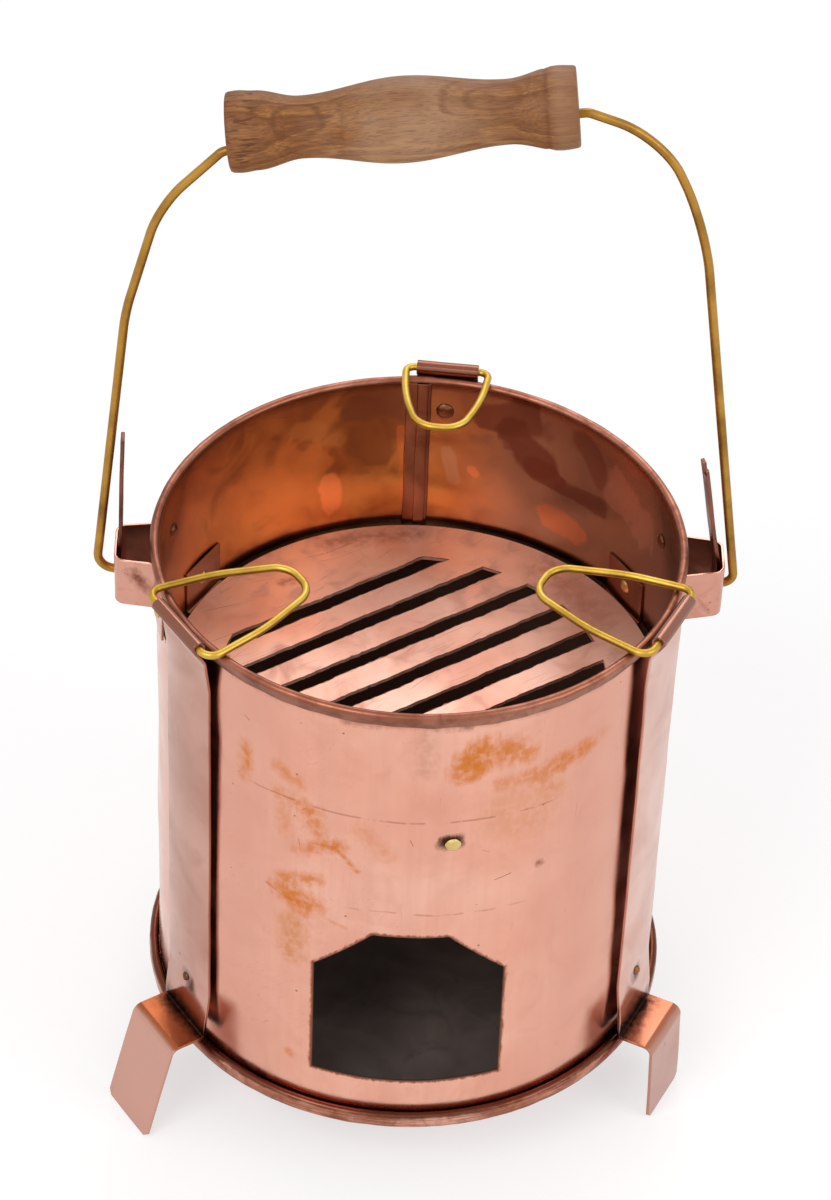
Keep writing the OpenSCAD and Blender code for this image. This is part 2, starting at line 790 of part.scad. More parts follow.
module bracket_rivets() {
    inside = bracket_r - bracket_t - 0.1;
    color(brass)
        for (i = [0:2]) at_place(bracket_places[i]) {
            out = i == 2 ? drum_r - head_sink(front_dint_depth) : drum_r;
            shank(inside, out, bracket_rivet_zs[i]);
            rivet_head(inside, bracket_rivet_zs[i], -1);
            rivet_head(out, bracket_rivet_zs[i], 1, dint_head_d);
        }
}

module lug_rivets() {
    outside = drum_r + lug_t + 0.1;
    color(brass)
        for (s = [-1, 1], b = [-1, 1])
            at_place(lug_rivet_place(s, b)) {
                shank(drum_in - 0.1, outside, pivot_z);
                rivet_head(drum_in - 0.1, pivot_z, -1);
                rivet_head(outside, pivot_z, 1);
            }
}

drum();
rim_wire();
base_plate();
grate();
grate_bracket_left();
grate_bracket_right();
grate_bracket_front();
leg_left();
leg_right();
leg_back();
pot_rest_left();
pot_rest_right();
pot_rest_back();
lug_left();
lug_right();
handle_stay_left();
handle_stay_right();
bail_wire();
grip();
strap_rivets_upper();
strap_rivets_lower();
bracket_rivets();
lug_rivets();
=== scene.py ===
import math
from functools import partial
import bpy
import bmesh
from mathutils import Matrix, Vector, noise


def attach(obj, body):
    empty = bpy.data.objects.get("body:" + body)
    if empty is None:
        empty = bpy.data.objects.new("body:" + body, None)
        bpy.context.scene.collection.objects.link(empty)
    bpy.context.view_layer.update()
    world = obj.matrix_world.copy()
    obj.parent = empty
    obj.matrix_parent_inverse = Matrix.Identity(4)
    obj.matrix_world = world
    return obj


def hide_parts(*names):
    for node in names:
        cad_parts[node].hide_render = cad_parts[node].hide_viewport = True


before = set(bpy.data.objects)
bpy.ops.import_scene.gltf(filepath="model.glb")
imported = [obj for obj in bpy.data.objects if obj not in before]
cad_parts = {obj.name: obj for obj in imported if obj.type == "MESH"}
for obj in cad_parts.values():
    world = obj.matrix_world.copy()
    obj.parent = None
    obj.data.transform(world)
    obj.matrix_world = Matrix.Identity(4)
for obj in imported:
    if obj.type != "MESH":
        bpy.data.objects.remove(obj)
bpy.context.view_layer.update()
mm = 0.001
tiny = 0.05    # mm, what counts as touching

# All sizes are in mm, with heights from the ground and azimuths in degrees, 0 at the front and 90 at
# the right. The round faces all sit on these, the same numbers as the CAD.
drum = dict(radius=100, sheet=0.8, floor=35, rim=245.2, rimRadius=101, bead=1.75, hem=5.2, rounds=264,
            doorWidth=73, doorTop=29, sill=54.5, shoulder=111.5, doorHead=132.5,
            rows=52, longDent=(46, 0.55), shortDent=(17, 0.16), calmLow=(37, 12), calmHigh=(240, 12))
# the hollow hammered in beside the front bracket's rivet
frontDint = dict(azimuth=7.9, height=181, radius=6, depth=0.9, steepness=2.2)


def turned(azimuth):
    # local +X points outwards at this place round the drum, local +Z stays up
    return Matrix.Rotation(math.radians(azimuth - 90), 4, 'Z')


def shifted(x, y, z):
    return Matrix.Translation(Vector((x, y, z)) * mm)


def outward(azimuth, radius, z, inwards=False):
    # local +Z of the result points out of the drum (or into it) at that place
    quarter = Matrix.Rotation(math.radians(-90 if inwards else 90), 4, 'Y')
    return turned(azimuth) @ shifted(radius, 0, z) @ quarter


def onWall(azimuth, height, radius=100.0):
    a = math.radians(azimuth)
    return radius * math.sin(a), -radius * math.cos(a), height


def radial(place):
    # the way straight out from the drum's axis
    return Vector((place.x, place.y, 0)).normalized()


def share(value):
    return min(1, max(0, value))


def scaled(points):
    return [Vector(p) * mm for p in points]


def wobble(point, size, amount):
    # smooth hand-made unevenness: size is the length of a dent, amount its depth
    return noise.noise(Vector(point) / (size * mm)) * amount * mm


def partsOf(geom, kind):
    return [part for part in geom if isinstance(part, kind)]


def withBorders(faces):
    return faces + list({e for f in faces for e in f.edges}) + list({v for f in faces for v in f.verts})


def faceOutwards(bm, out):
    # out gives the way that a face at a place should look
    bmesh.ops.recalc_face_normals(bm, faces=bm.faces)
    if sum(f.normal.dot(out(f.calc_center_median())) * f.calc_area() for f in bm.faces) < 0:
        bmesh.ops.reverse_faces(bm, faces=bm.faces)


def roundedPath(corners, radii, steps=8, closed=False):
    # a wire bent through corners, each rounded to its own radius, as ordered points
    bm = bmesh.new()
    verts = [bm.verts.new(p) for p in scaled(corners)]
    for a, b in zip(verts, verts[1:] + ([verts[0]] if closed else [])):
        bm.edges.new((a, b))
    start = verts[0].co.copy()
    bends = [v.co.copy() for v in (verts if closed else verts[1:-1])]
    for place, radius in zip(bends, radii):
        v = min(bm.verts, key=lambda q: (q.co - place).length)
        sides = [e.other_vert(v).co - v.co for e in v.link_edges]
        bend = math.pi - sides[0].angle(sides[1])
        bmesh.ops.bevel(bm, geom=[v], offset=radius * mm * math.tan(bend / 2), offset_type='OFFSET',
                        segments=steps, profile=0.5, affect='VERTICES', material=-1, clamp_overlap=False)
    v = min(bm.verts, key=lambda q: (q.co - start).length)
    path, seen = [v.co.copy()], {v}
    while True:
        ahead = [e.other_vert(v) for e in v.link_edges if e.other_vert(v) not in seen]
        if not ahead:
            break
        v = ahead[0]
        seen.add(v)
        path.append(v.co.copy())
    bm.free()
    return path


def resampled(path, step, closed=False):
    # more points along a path, so that a wire or strip can be drawn slightly uneven
    points = []
    for a, b in zip(path, path[1:] + ([path[0]] if closed else [])):
        cuts = max(1, round((b - a).length / (step * mm)))
        points += [a.lerp(b, i / cuts) for i in range(cuts)]
    return points if closed else points + [path[-1]]


def arc(centre, radius, start, end, steps):
    angles = [math.radians(start + (end - start) * i / steps) for i in range(steps + 1)]
    return [(centre[0] + radius * math.cos(a), centre[1] + radius * math.sin(a)) for a in angles]


def finishPiece(name, bm, body, materials, replaced=(), sharp=38):
    mesh = bpy.data.meshes.new(name)
    bm.to_mesh(mesh)
    bm.free()
    piece = bpy.data.objects.new(name, mesh)
    bpy.context.scene.collection.objects.link(piece)
    for material in materials:
        mesh.materials.append(material)
    mesh.polygons.foreach_set("use_smooth", [True] * len(mesh.polygons))
    mesh.set_sharp_from_angle(angle=math.radians(sharp))
    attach(piece, body)
    if replaced:
        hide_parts(*replaced)
    return piece


def addThickness(piece, thickness, even=True, hiddenFinish=0):
    # a sheet gets its thickness about its middle, and its hidden side may have the next finish
    wall = piece.modifiers.new("sheet", 'SOLIDIFY')
    wall.thickness = thickness * mm
    wall.offset = 0
    wall.use_even_offset = even
    wall.material_offset = hiddenFinish
    return wall


def addTube(bm, path, diameter, closed=False, sides=20, uneven=0.0, unevenSpan=9):
    # a round wire swept along a path, with cut ends closed
    curve = bpy.data.curves.new("tube", 'CURVE')
    curve.dimensions = '3D'
    curve.bevel_depth = diameter * mm / 2
    curve.bevel_resolution = sides // 4
    curve.use_fill_caps = not closed
    spline = curve.splines.new('POLY')
    spline.points.add(len(path) - 1)
    for point, co in zip(spline.points, path):
        point.co = (co[0], co[1], co[2], 1)
        point.radius = 1 + uneven * noise.noise(Vector(co) / (unevenSpan * mm))
    spline.use_cyclic_u = closed
    holder = bpy.data.objects.new("tube", curve)
    mesh = bpy.data.meshes.new_from_object(holder)
    bm.from_mesh(mesh)
    bpy.data.objects.remove(holder)
    bpy.data.curves.remove(curve)
    bpy.data.meshes.remove(mesh)


def addDome(bm, matrix, diameter, height, uneven=0.05, hammerMark=1.6, sunk=0.02):
    # a rivet head: the upper part of a ball, hammered a little out of true
    ballRadius = (diameter * diameter / 4 + height * height) / (2 * height)
    made = bmesh.ops.create_uvsphere(bm, u_segments=28, v_segments=24, radius=ballRadius * mm)["verts"]
    bmesh.ops.translate(bm, verts=made, vec=(0, 0, (height - ballRadius) * mm))
    faces = {f for v in made for f in v.link_faces}
    ball = made + list({e for v in made for e in v.link_edges}) + list(faces)
    bmesh.ops.bisect_plane(bm, geom=ball, plane_co=(0, 0, -sunk * mm), plane_no=(0, 0, -1), clear_outer=True)
    kept = [v for v in made if v.is_valid]
    head = set(kept)
    for v in kept:
        head.update(e.other_vert(v) for e in v.link_edges)
    for v in head:
        v.co += v.co.normalized() * wobble(v.co + matrix.translation, hammerMark, uneven * diameter)
    bmesh.ops.transform(bm, matrix=matrix, verts=list(head))


def addBar(bm, matrix, radius, length):
    # a plain round bar along local +Z, from z 0
    made = bmesh.ops.create_cone(bm, cap_ends=True, segments=24, radius1=radius * mm, radius2=radius * mm,
                                 depth=length * mm)["verts"]
    bmesh.ops.translate(bm, verts=made, vec=(0, 0, length * mm / 2))
    bmesh.ops.transform(bm, matrix=matrix, verts=made)


def dressEdges(bm, width, cup, calmLow=18, calmHigh=12):
    # the strap was dressed round the drum, so its long edges stand closer to the wall
    for v in bm.verts:
        height = v.co.z / mm
        climbed = share((height - cup["low"]) / (cup["high"] - cup["low"]))
        calm = share((height - cup["low"]) / calmLow) * share((cup["high"] - height) / calmHigh)
        depth = cup["depthLow"] + (cup["depthHigh"] - cup["depthLow"]) * climbed
        v.co.x -= depth * calm * (v.co.y / (width / 2 * mm)) ** 2 * mm


def stripPiece(name, path, width, thickness, materials, replaced, matrix, across=(0, 1, 0), rows=8,
               step=4.0, dents=0.0, dentSpan=22, dint=None, clipped=0, edge=0.22, hollow=None, cup=None):
    # flat strip bent along a path: the path is its middle, drawn out sideways and given its thickness
    bm = bmesh.new()
    line = [bm.verts.new(p) for p in resampled(path, step)]
    edges = [bm.edges.new(pair) for pair in zip(line, line[1:])]
    across = Vector(across)
    bmesh.ops.translate(bm, verts=line, vec=across * (-width / 2 * mm))
    for row in range(rows):
        made = bmesh.ops.extrude_edge_only(bm, edges=edges)["geom"]
        edges = partsOf(made, bmesh.types.BMEdge)
        bmesh.ops.translate(bm, verts=partsOf(made, bmesh.types.BMVert), vec=across * (width / rows * mm))
    if clipped:
        low = min(v.co.z for v in bm.verts)
        corners = [v for v in bm.verts if v.co.z < low + tiny * mm and len(v.link_edges) == 2]
        bmesh.ops.bevel(bm, geom=corners, offset=clipped * mm, offset_type='OFFSET', segments=1, profile=0.5,
                        affect='VERTICES', material=-1)
    if hollow:
        faceOutwards(bm, hollow)
    else:
        bmesh.ops.recalc_face_normals(bm, faces=bm.faces)
    bm.normal_update()
    for v in bm.verts:
        push = wobble(v.co + Vector((0, 0, len(name))), dentSpan, dents)
        if dint:
            away = (v.co - Vector(dint["centre"]) * mm).length / (dint["radius"] * mm)
            push -= dint["depth"] * mm * math.exp(-away * away * 2) * (1 if v.normal.x > 0 else -1)
        v.co += v.normal * push
    if cup:
        dressEdges(bm, width, cup)
    bmesh.ops.transform(bm, matrix=matrix, verts=bm.verts)
    piece = finishPiece(name, bm, "brazier", materials, replaced, 30)
    addThickness(piece, thickness, hiddenFinish=1 if hollow else 0)
    soft = piece.modifiers.new("edge", 'BEVEL')
    soft.width = edge * mm
    soft.segments = 2
    soft.limit_method = 'ANGLE'
    soft.angle_limit = math.radians(55)
    piece.modifiers.new("flat faces", 'WEIGHTED_NORMAL').keep_sharp = True
    return piece


# materials: colours are sRGB hex, and each pattern is sized by the mm that it repeats in

def linear(hexColour):
    channels = [int(hexColour[i:i + 2], 16) / 255 for i in (1, 3, 5)]
    return [c / 12.92 if c <= 0.04045 else ((c + 0.055) / 1.055) ** 2.4 for c in channels] + [1.0]


def addNode(tree, kind, links=None, out=0, stops=(), **settings):
    # one node: links set or join its inputs, stops fill its colour ramp, and settings are its own options
    made = tree.nodes.new('ShaderNode' + kind)
    for key, value in settings.items():
        setattr(made, key, value)
    for key, value in (links or {}).items():
        if isinstance(value, bpy.types.NodeSocket):
            tree.links.new(value, made.inputs[key])
        else:
            made.inputs[key].default_value = linear(value) if isinstance(value, str) else value
    if stops:
        table = made.color_ramp.elements
        while len(table) < len(stops):
            table.new(0.5)
        for element, (place, tone) in zip(table, stops):
            element.position = place
            element.color = linear(tone) if isinstance(tone, str) else (tone, tone, tone, 1)
    return made.outputs[out] if len(made.outputs) else None


def newMaterial(name):
    # an empty material, the call that adds its nodes, and the place on the object
    material = bpy.data.materials.new(name)
    material.use_nodes = True
    material.node_tree.nodes.clear()
    add = partial(addNode, material.node_tree)
    return material, add, add('TexCoord', out='Object')


def every(size):
    # the scale at which a pattern repeats in this many mm
    return 1 / (size * mm)


def layered(add, colour, layers):
    # lays each tone over what is there, where its mask says
    for mask, tone in layers:
        colour = add('Mix', {0: mask, 6: colour, 7: tone}, out=2, data_type='RGBA')
    return colour


def strongest(add, masks):
    highest = masks[0]
    for mask in masks[1:]:
        highest = add('Math', {0: highest, 1: mask}, operation='MAXIMUM')
    return highest


def awayFromLine(add, where, start, end):
    # distance in metres from the line between two places on the object
    start, end = Vector(start) * mm, Vector(end) * mm
    along = end - start
    off = add('VectorMath', {0: where, 1: start}, operation='SUBTRACT')
    if along.length > 0.1 * mm:
        reached = add('VectorMath', {0: off, 1: along / along.length_squared}, out='Value',
                      operation='DOT_PRODUCT')
        reached = add('Clamp', {'Value': reached})
        near = add('VectorMath', {0: along, 'Scale': reached}, operation='SCALE')
        off = add('VectorMath', {0: off, 1: near}, operation='SUBTRACT')
    return add('VectorMath', {0: off}, out='Value', operation='LENGTH')


def atPlaces(radius, rows):
    # each row starts with azimuth and height of one place on the wall, then of another
    return [(onWall(a, low, radius), onWall(b, high, radius), *rest) for a, low, b, high, *rest in rows]


def zoneLayers(add, sheet, zones):
    # a tone that comes in along one axis between two places, with a torn border
    layers = []
    for axis, start, end, tone, strength, torn in zones:
        shaky = add('Math', {0: sheet["edge"], 1: torn * mm, 2: sheet[axis]}, operation='MULTIPLY_ADD')
        mask = add('MapRange', {'Value': shaky, 'From Min': (start + torn / 2) * mm,
                                'From Max': (end + torn / 2) * mm, 'To Max': strength},
                   interpolation_type='SMOOTHSTEP')
        layers.append((mask, tone))
    return layers


def streakLayers(add, sheet, streaks):
    # faint bands left by rubbing, drawn out one way
    layers = []
    for across, up, tone, strength in streaks:
        drawn = add('Mapping', {'Vector': sheet["where"], 'Scale': (every(across), every(across), every(up))})
        bands = add('TexNoise', {'Vector': drawn, 'Scale': 1.0, 'Detail': 3.0, 'Roughness': 0.6})
        layers.append((add('ValToRGB', {'Fac': bands}, stops=[(0.44, 0.0), (0.62, strength)]), tone))
    return layers


def stainAndPaintedLightLayers(add, sheet, stainsAndPaintedLight, clouded):
    # a stain, or a painted shade or reflection where so listed, round a line between two places: its border
    # is feathery, or on the heated side sharp and rounded as a cloud's, and a faint one is mottled
    border, tear, full, none = sheet["grain"], 1.25, 0.15, 0.95
    if clouded:
        border, tear, full, none = sheet["film"], 1.5, 0.40, 0.56
    specks = add('TexNoise', {'Vector': sheet["where"], 'Scale': every(3.2), 'Detail': 4.0})
    mottle = add('ValToRGB', {'Fac': specks}, stops=[(0.36, 0.35), (0.60, 1.0)])
    layers = []
    for start, end, reach, strength, tone in stainsAndPaintedLight:
        away = awayFromLine(add, sheet["where"], start, end)
        shaped = add('Math', {0: away, 1: every(reach), 2: -tear / 2}, operation='MULTIPLY_ADD')
        torn = add('Math', {0: border, 1: tear, 2: shaped}, operation='MULTIPLY_ADD')
        mask = add('ValToRGB', {'Fac': torn}, stops=[(full, strength), (none, 0.0)])
        if strength < 1 and not clouded:
            mask = add('Math', {0: mask, 1: mottle}, operation='MULTIPLY')
        layers.append((mask, tone))
    return layers


def doorLayer(add, sheet, width, tone, strength):
    # a ragged brown line round the cut door: how far a place is from its outline, seen from the front
    halfDoor, slopeHeight = drum["doorWidth"] / 2, drum["doorHead"] - drum["shoulder"]
    slant = Vector((slopeHeight, 0, halfDoor - drum["doorTop"] / 2)).normalized()
    aside = add('Math', {0: sheet["X"]}, operation='ABSOLUTE')
    borders = []
    for sideways, up, reach in ((1, 0, halfDoor), (0, -1, -drum["sill"]), (0, 1, drum["doorHead"]),
                                (slant.x, slant.z, slant.x * halfDoor + slant.z * drum["shoulder"])):
        beyond = add('Math', {0: aside, 1: sideways, 2: -reach * mm}, operation='MULTIPLY_ADD')
        borders.append(add('Math', {0: sheet["Z"], 1: up, 2: beyond}, operation='MULTIPLY_ADD'))
    ragged = add('Math', {0: sheet["grain"], 1: -width * 2.4 * mm, 2: strongest(add, borders)},
                 operation='MULTIPLY_ADD')
    line = add('MapRange', {'Value': ragged, 'From Min': -width * 0.9 * mm, 'From Max': -width * 0.2 * mm,
                            'To Min': strength, 'To Max': 0.0})
    front = add('Math', {0: sheet["Y"], 1: 0.0}, operation='LESS_THAN')
    return add('Math', {0: line, 1: front}, operation='MULTIPLY'), tone


def cutAndShadowSlitMasks(add, sheet, cuts):
    # short cuts between two places, and a painted shadow slit drawn the same way
    masks = []
    for start, end, width, strength in cuts:
        away = awayFromLine(add, sheet["where"], start, end)
        shaky = add('Math', {0: sheet["edge"], 1: width * 0.9 * mm, 2: away}, operation='MULTIPLY_ADD')
        masks.append(add('MapRange', {'Value': shaky, 'From Min': width * 0.75 * mm,
                                      'From Max': width * 1.15 * mm, 'To Min': strength, 'To Max': 0.0}))
    return masks


def scribedMasks(add, sheet, lines, fadeOut=6):
    # a line scribed round the drum at one height, rubbed away in places and gone past both its ends
    masks = []
    for height, wander, width, strength, keep, left, right in lines:
        bent = add('Math', {0: sheet["clouds"], 1: -wander * mm, 2: sheet["Z"]}, operation='MULTIPLY_ADD')
        level = add('Math', {0: bent, 1: (height - wander / 2) * mm}, operation='SUBTRACT')
        level = add('Math', {0: level}, operation='ABSOLUTE')
        line = add('MapRange', {'Value': level, 'From Min': width * 0.3 * mm, 'From Max': width * mm,
                                'To Min': strength, 'To Max': 0.0})
        kept = add('ValToRGB', {'Fac': sheet["edge"]}, stops=[(keep, 0.0), (keep + 0.1, 1.0)])
        for limit, way in ((left, 1), (right, -1)):
            inside = add('MapRange', {'Value': sheet["X"], 'From Min': limit * mm,
                                      'From Max': (limit + way * fadeOut) * mm})
            kept = add('Math', {0: kept, 1: inside}, operation='MULTIPLY')
        masks.append(add('Math', {0: line, 1: kept}, operation='MULTIPLY'))
    return masks


def hairMasks(add, sheet, hairs, patch=26):
    # fine hairlines, as noise drawn out a hundred times longer than it is wide, in patches
    masks = []
    for length, width, turn, keep, strength, seed in hairs:
        placed = add('Mapping', {'Vector': sheet["where"], 'Rotation': turn, 'Location': (seed, seed, seed)})
        drawn = add('Mapping', {'Vector': placed, 'Scale': (every(length), every(width), every(width))})
        threads = add('TexNoise', {'Vector': drawn, 'Scale': 1.0, 'Detail': 1.0})
        line = add('ValToRGB', {'Fac': threads}, stops=[(0.68, 0.0), (0.76, strength)])
        spread = add('TexNoise', {'Vector': placed, 'Scale': every(patch), 'Detail': 1.0})
        part = add('ValToRGB', {'Fac': spread}, stops=[(keep, 0.0), (keep + 0.12, 1.0)])
        masks.append(add('Math', {0: line, 1: part}, operation='MULTIPLY'))
    return masks


def copperSheet(name, look):
    # rolled copper sheet, hand-finished: a salmon metal with soft cloudy tone, heat and finger
    # stains where the real one has them, painted shade and reflections where they are listed, hairline
    # scratches and small dark pits
    material, add, where = newMaterial(name)
    brushed = add('Mapping', {'Vector': where, 'Scale': (450, 450, 130)})    # lines of about 2 by 8 mm
    split = add('SeparateXYZ', {'Vector': where}).node.outputs
    sheet = dict(
        where=where, X=split['X'], Y=split['Y'], Z=split['Z'],
        clouds=add('TexNoise', {'Vector': where, 'Scale': every(look.get("cloud", 38)), 'Detail': 4.0,
                                'Roughness': 0.5, 'Distortion': 0.5}),
        film=add('TexNoise', {'Vector': where, 'Scale': every(look.get("patch", 24)), 'Detail': 6.0,
                              'Roughness': 0.55, 'Distortion': 1.2}),
        edge=add('TexNoise', {'Vector': where, 'Scale': every(9), 'Detail': 5.0, 'Roughness': 0.65}),
        grain=add('TexNoise', {'Vector': brushed, 'Scale': 1.0, 'Detail': 6.0, 'Roughness': 0.72}))

    base = add('ValToRGB', {'Fac': sheet["clouds"]},
               stops=[(0.32, look["dark"]), (0.50, look["body"]), (0.68, look["light"])])
    bareTo, fullFrom = look.get("filmFrom", 0.52), look.get("filmFull", 0.72)
    covered = add('ValToRGB', {'Fac': sheet["film"]},
                  stops=[(bareTo, 0.0), (fullFrom, look.get("film", 0.4))])
    layers = [(covered, look["tarnish"])]
    layers += zoneLayers(add, sheet, look.get("zones", ()))
    layers += streakLayers(add, sheet, look.get("streaks", ()))
    layers += stainAndPaintedLightLayers(add, sheet, look.get("stainsAndPaintedLight", ()), look.get("clouded", False))
    if "doorEdge" in look:
        layers.append(doorLayer(add, sheet, *look["doorEdge"]))
    pits = add('TexVoronoi', {'Vector': where, 'Scale': every(look.get("pitSpacing", 9))}).node.outputs
    chosen = add('ValToRGB', {'Fac': pits['Color']}, stops=[(0.60, 0.0), (0.66, 1.0)])
    spot = add('ValToRGB', {'Fac': pits['Distance']}, stops=[(0.035, 1.0), (0.075, 0.0)])
    pit = add('Math', {0: chosen, 1: spot}, operation='MULTIPLY')
    layers.append((add('Math', {0: pit, 1: look.get("pit", 0.7)}, operation='MULTIPLY'), '#5A3020'))
    marks = cutAndShadowSlitMasks(add, sheet, look.get("cuts", ())) + scribedMasks(add, sheet, look.get("scribed", ()))
    marks += hairMasks(add, sheet, look.get("hairs", ()))
    scratchesAndShadowSlit = strongest(add, marks) if marks else None
    if marks:
        layers.append((scratchesAndShadowSlit, look.get("scratch", '#6E3B2A')))
    colour = layered(add, base, layers)

    ripple = add('TexNoise', {'Vector': where, 'Scale': every(look.get("ripple", 16)), 'Detail': 2.0})
    fine = add('TexNoise', {'Vector': brushed, 'Scale': 3.0, 'Detail': 2.0})
    normal = add('Bump', {'Height': ripple, 'Distance': look.get("rippleDepth", 0.4) * mm, 'Strength': 0.35})
    normal = add('Bump', {'Height': fine, 'Distance': 0.02 * mm, 'Strength': 0.3, 'Normal': normal})
    if marks:
        normal = add('Bump', {'Height': scratchesAndShadowSlit, 'Distance': 0.05 * mm, 'Strength': 0.4, 'Normal': normal},
                     invert=True)
    low, high = look["roughness"]
    metal = look.get("metallic", 1.0)
    dull = add('MapRange', {'Value': sheet["film"], 'From Min': 0.35, 'From Max': 0.7, 'To Min': low,
                            'To Max': high})
    if "sooted" in look:
        # soot hides the metal below the first height, and it is bare above the second
        top, clear = look["sooted"]
        metal = add('MapRange', {'Value': sheet["Z"], 'From Min': top * mm, 'From Max': clear * mm})
        dull = add('MapRange', {'Value': metal, 'To Min': 0.9, 'To Max': (low + high) / 2})
    shader = add('BsdfPrincipled', {'Base Color': colour, 'Metallic': metal, 'Roughness': dull,
                                    'Normal': normal})
    add('OutputMaterial', {'Surface': shader})
    return material


def brassWire(name, look):
    # drawn brass, dulled in the hand: golden, with browner stretches and fine specks
    material, add, where = newMaterial(name)
    patches = add('TexNoise', {'Vector': where, 'Scale': every(26), 'Detail': 5.0, 'Roughness': 0.6})
    base = add('ValToRGB', {'Fac': patches},
               stops=[(0.32, look["dark"]), (0.52, look["body"]), (0.72, look["light"])])
    specks = add('TexNoise', {'Vector': where, 'Scale': every(1.6), 'Detail': 4.0, 'Roughness': 0.7})
    speck = add('ValToRGB', {'Fac': specks}, stops=[(0.60, 0.0), (0.78, 0.5)])
    low, high = look["roughness"]
    rough = add('MapRange', {'Value': specks, 'From Min': 0.3, 'From Max': 0.7, 'To Min': low,
                             'To Max': high})
    bump = add('Bump', {'Height': specks, 'Distance': 0.05 * mm, 'Strength': 0.4})
    colour = layered(add, base, [(speck, look["dark"])])
    shader = add('BsdfPrincipled', {'Base Color': colour, 'Metallic': 1.0, 'Roughness': rough,
                                    'Normal': bump})
    add('OutputMaterial', {'Surface': shader})
    return material


def figureMask(add, facing, x, up, spacing, stretch, reach, strength):
    # nested arches, where the lathe cut through the grain round a branch
    off = add('VectorMath', {0: facing, 1: Vector((x, 0, up)) * mm}, operation='SUBTRACT')
    flat = add('VectorMath', {0: off, 1: (1 / stretch, 0.2, 1.0)}, operation='MULTIPLY')
    away = add('VectorMath', {0: flat}, out='Value', operation='LENGTH')
    wave = add('Math', {0: away, 1: math.tau / (spacing * mm)}, operation='MULTIPLY')
    wave = add('Math', {0: wave}, operation='SINE')
    line = add('MapRange', {'Value': wave, 'From Min': 0.1, 'From Max': 1.0, 'To Max': strength})
    fade = add('MapRange', {'Value': away, 'From Min': reach * 0.5 * mm, 'From Max': reach * mm,
                            'To Min': 1.0, 'To Max': 0.0})
    return add('Math', {0: line, 1: fade}, operation='MULTIPLY')


def tickMask(add, laid, along, length, width, start, end, strength):
    # short dark marks along the grain, that thin out between two places along the grip
    drawn = add('Mapping', {'Vector': laid, 'Scale': (every(length), every(width), every(width))})
    spots = add('TexNoise', {'Vector': drawn, 'Scale': 1.0, 'Detail': 1.0})
    mask = add('ValToRGB', {'Fac': spots}, stops=[(0.55, 0.0), (0.64, strength)])
    part = add('MapRange', {'Value': along, 'From Min': end * mm, 'From Max': start * mm})
    return add('Math', {0: mask, 1: part}, operation='MULTIPLY')


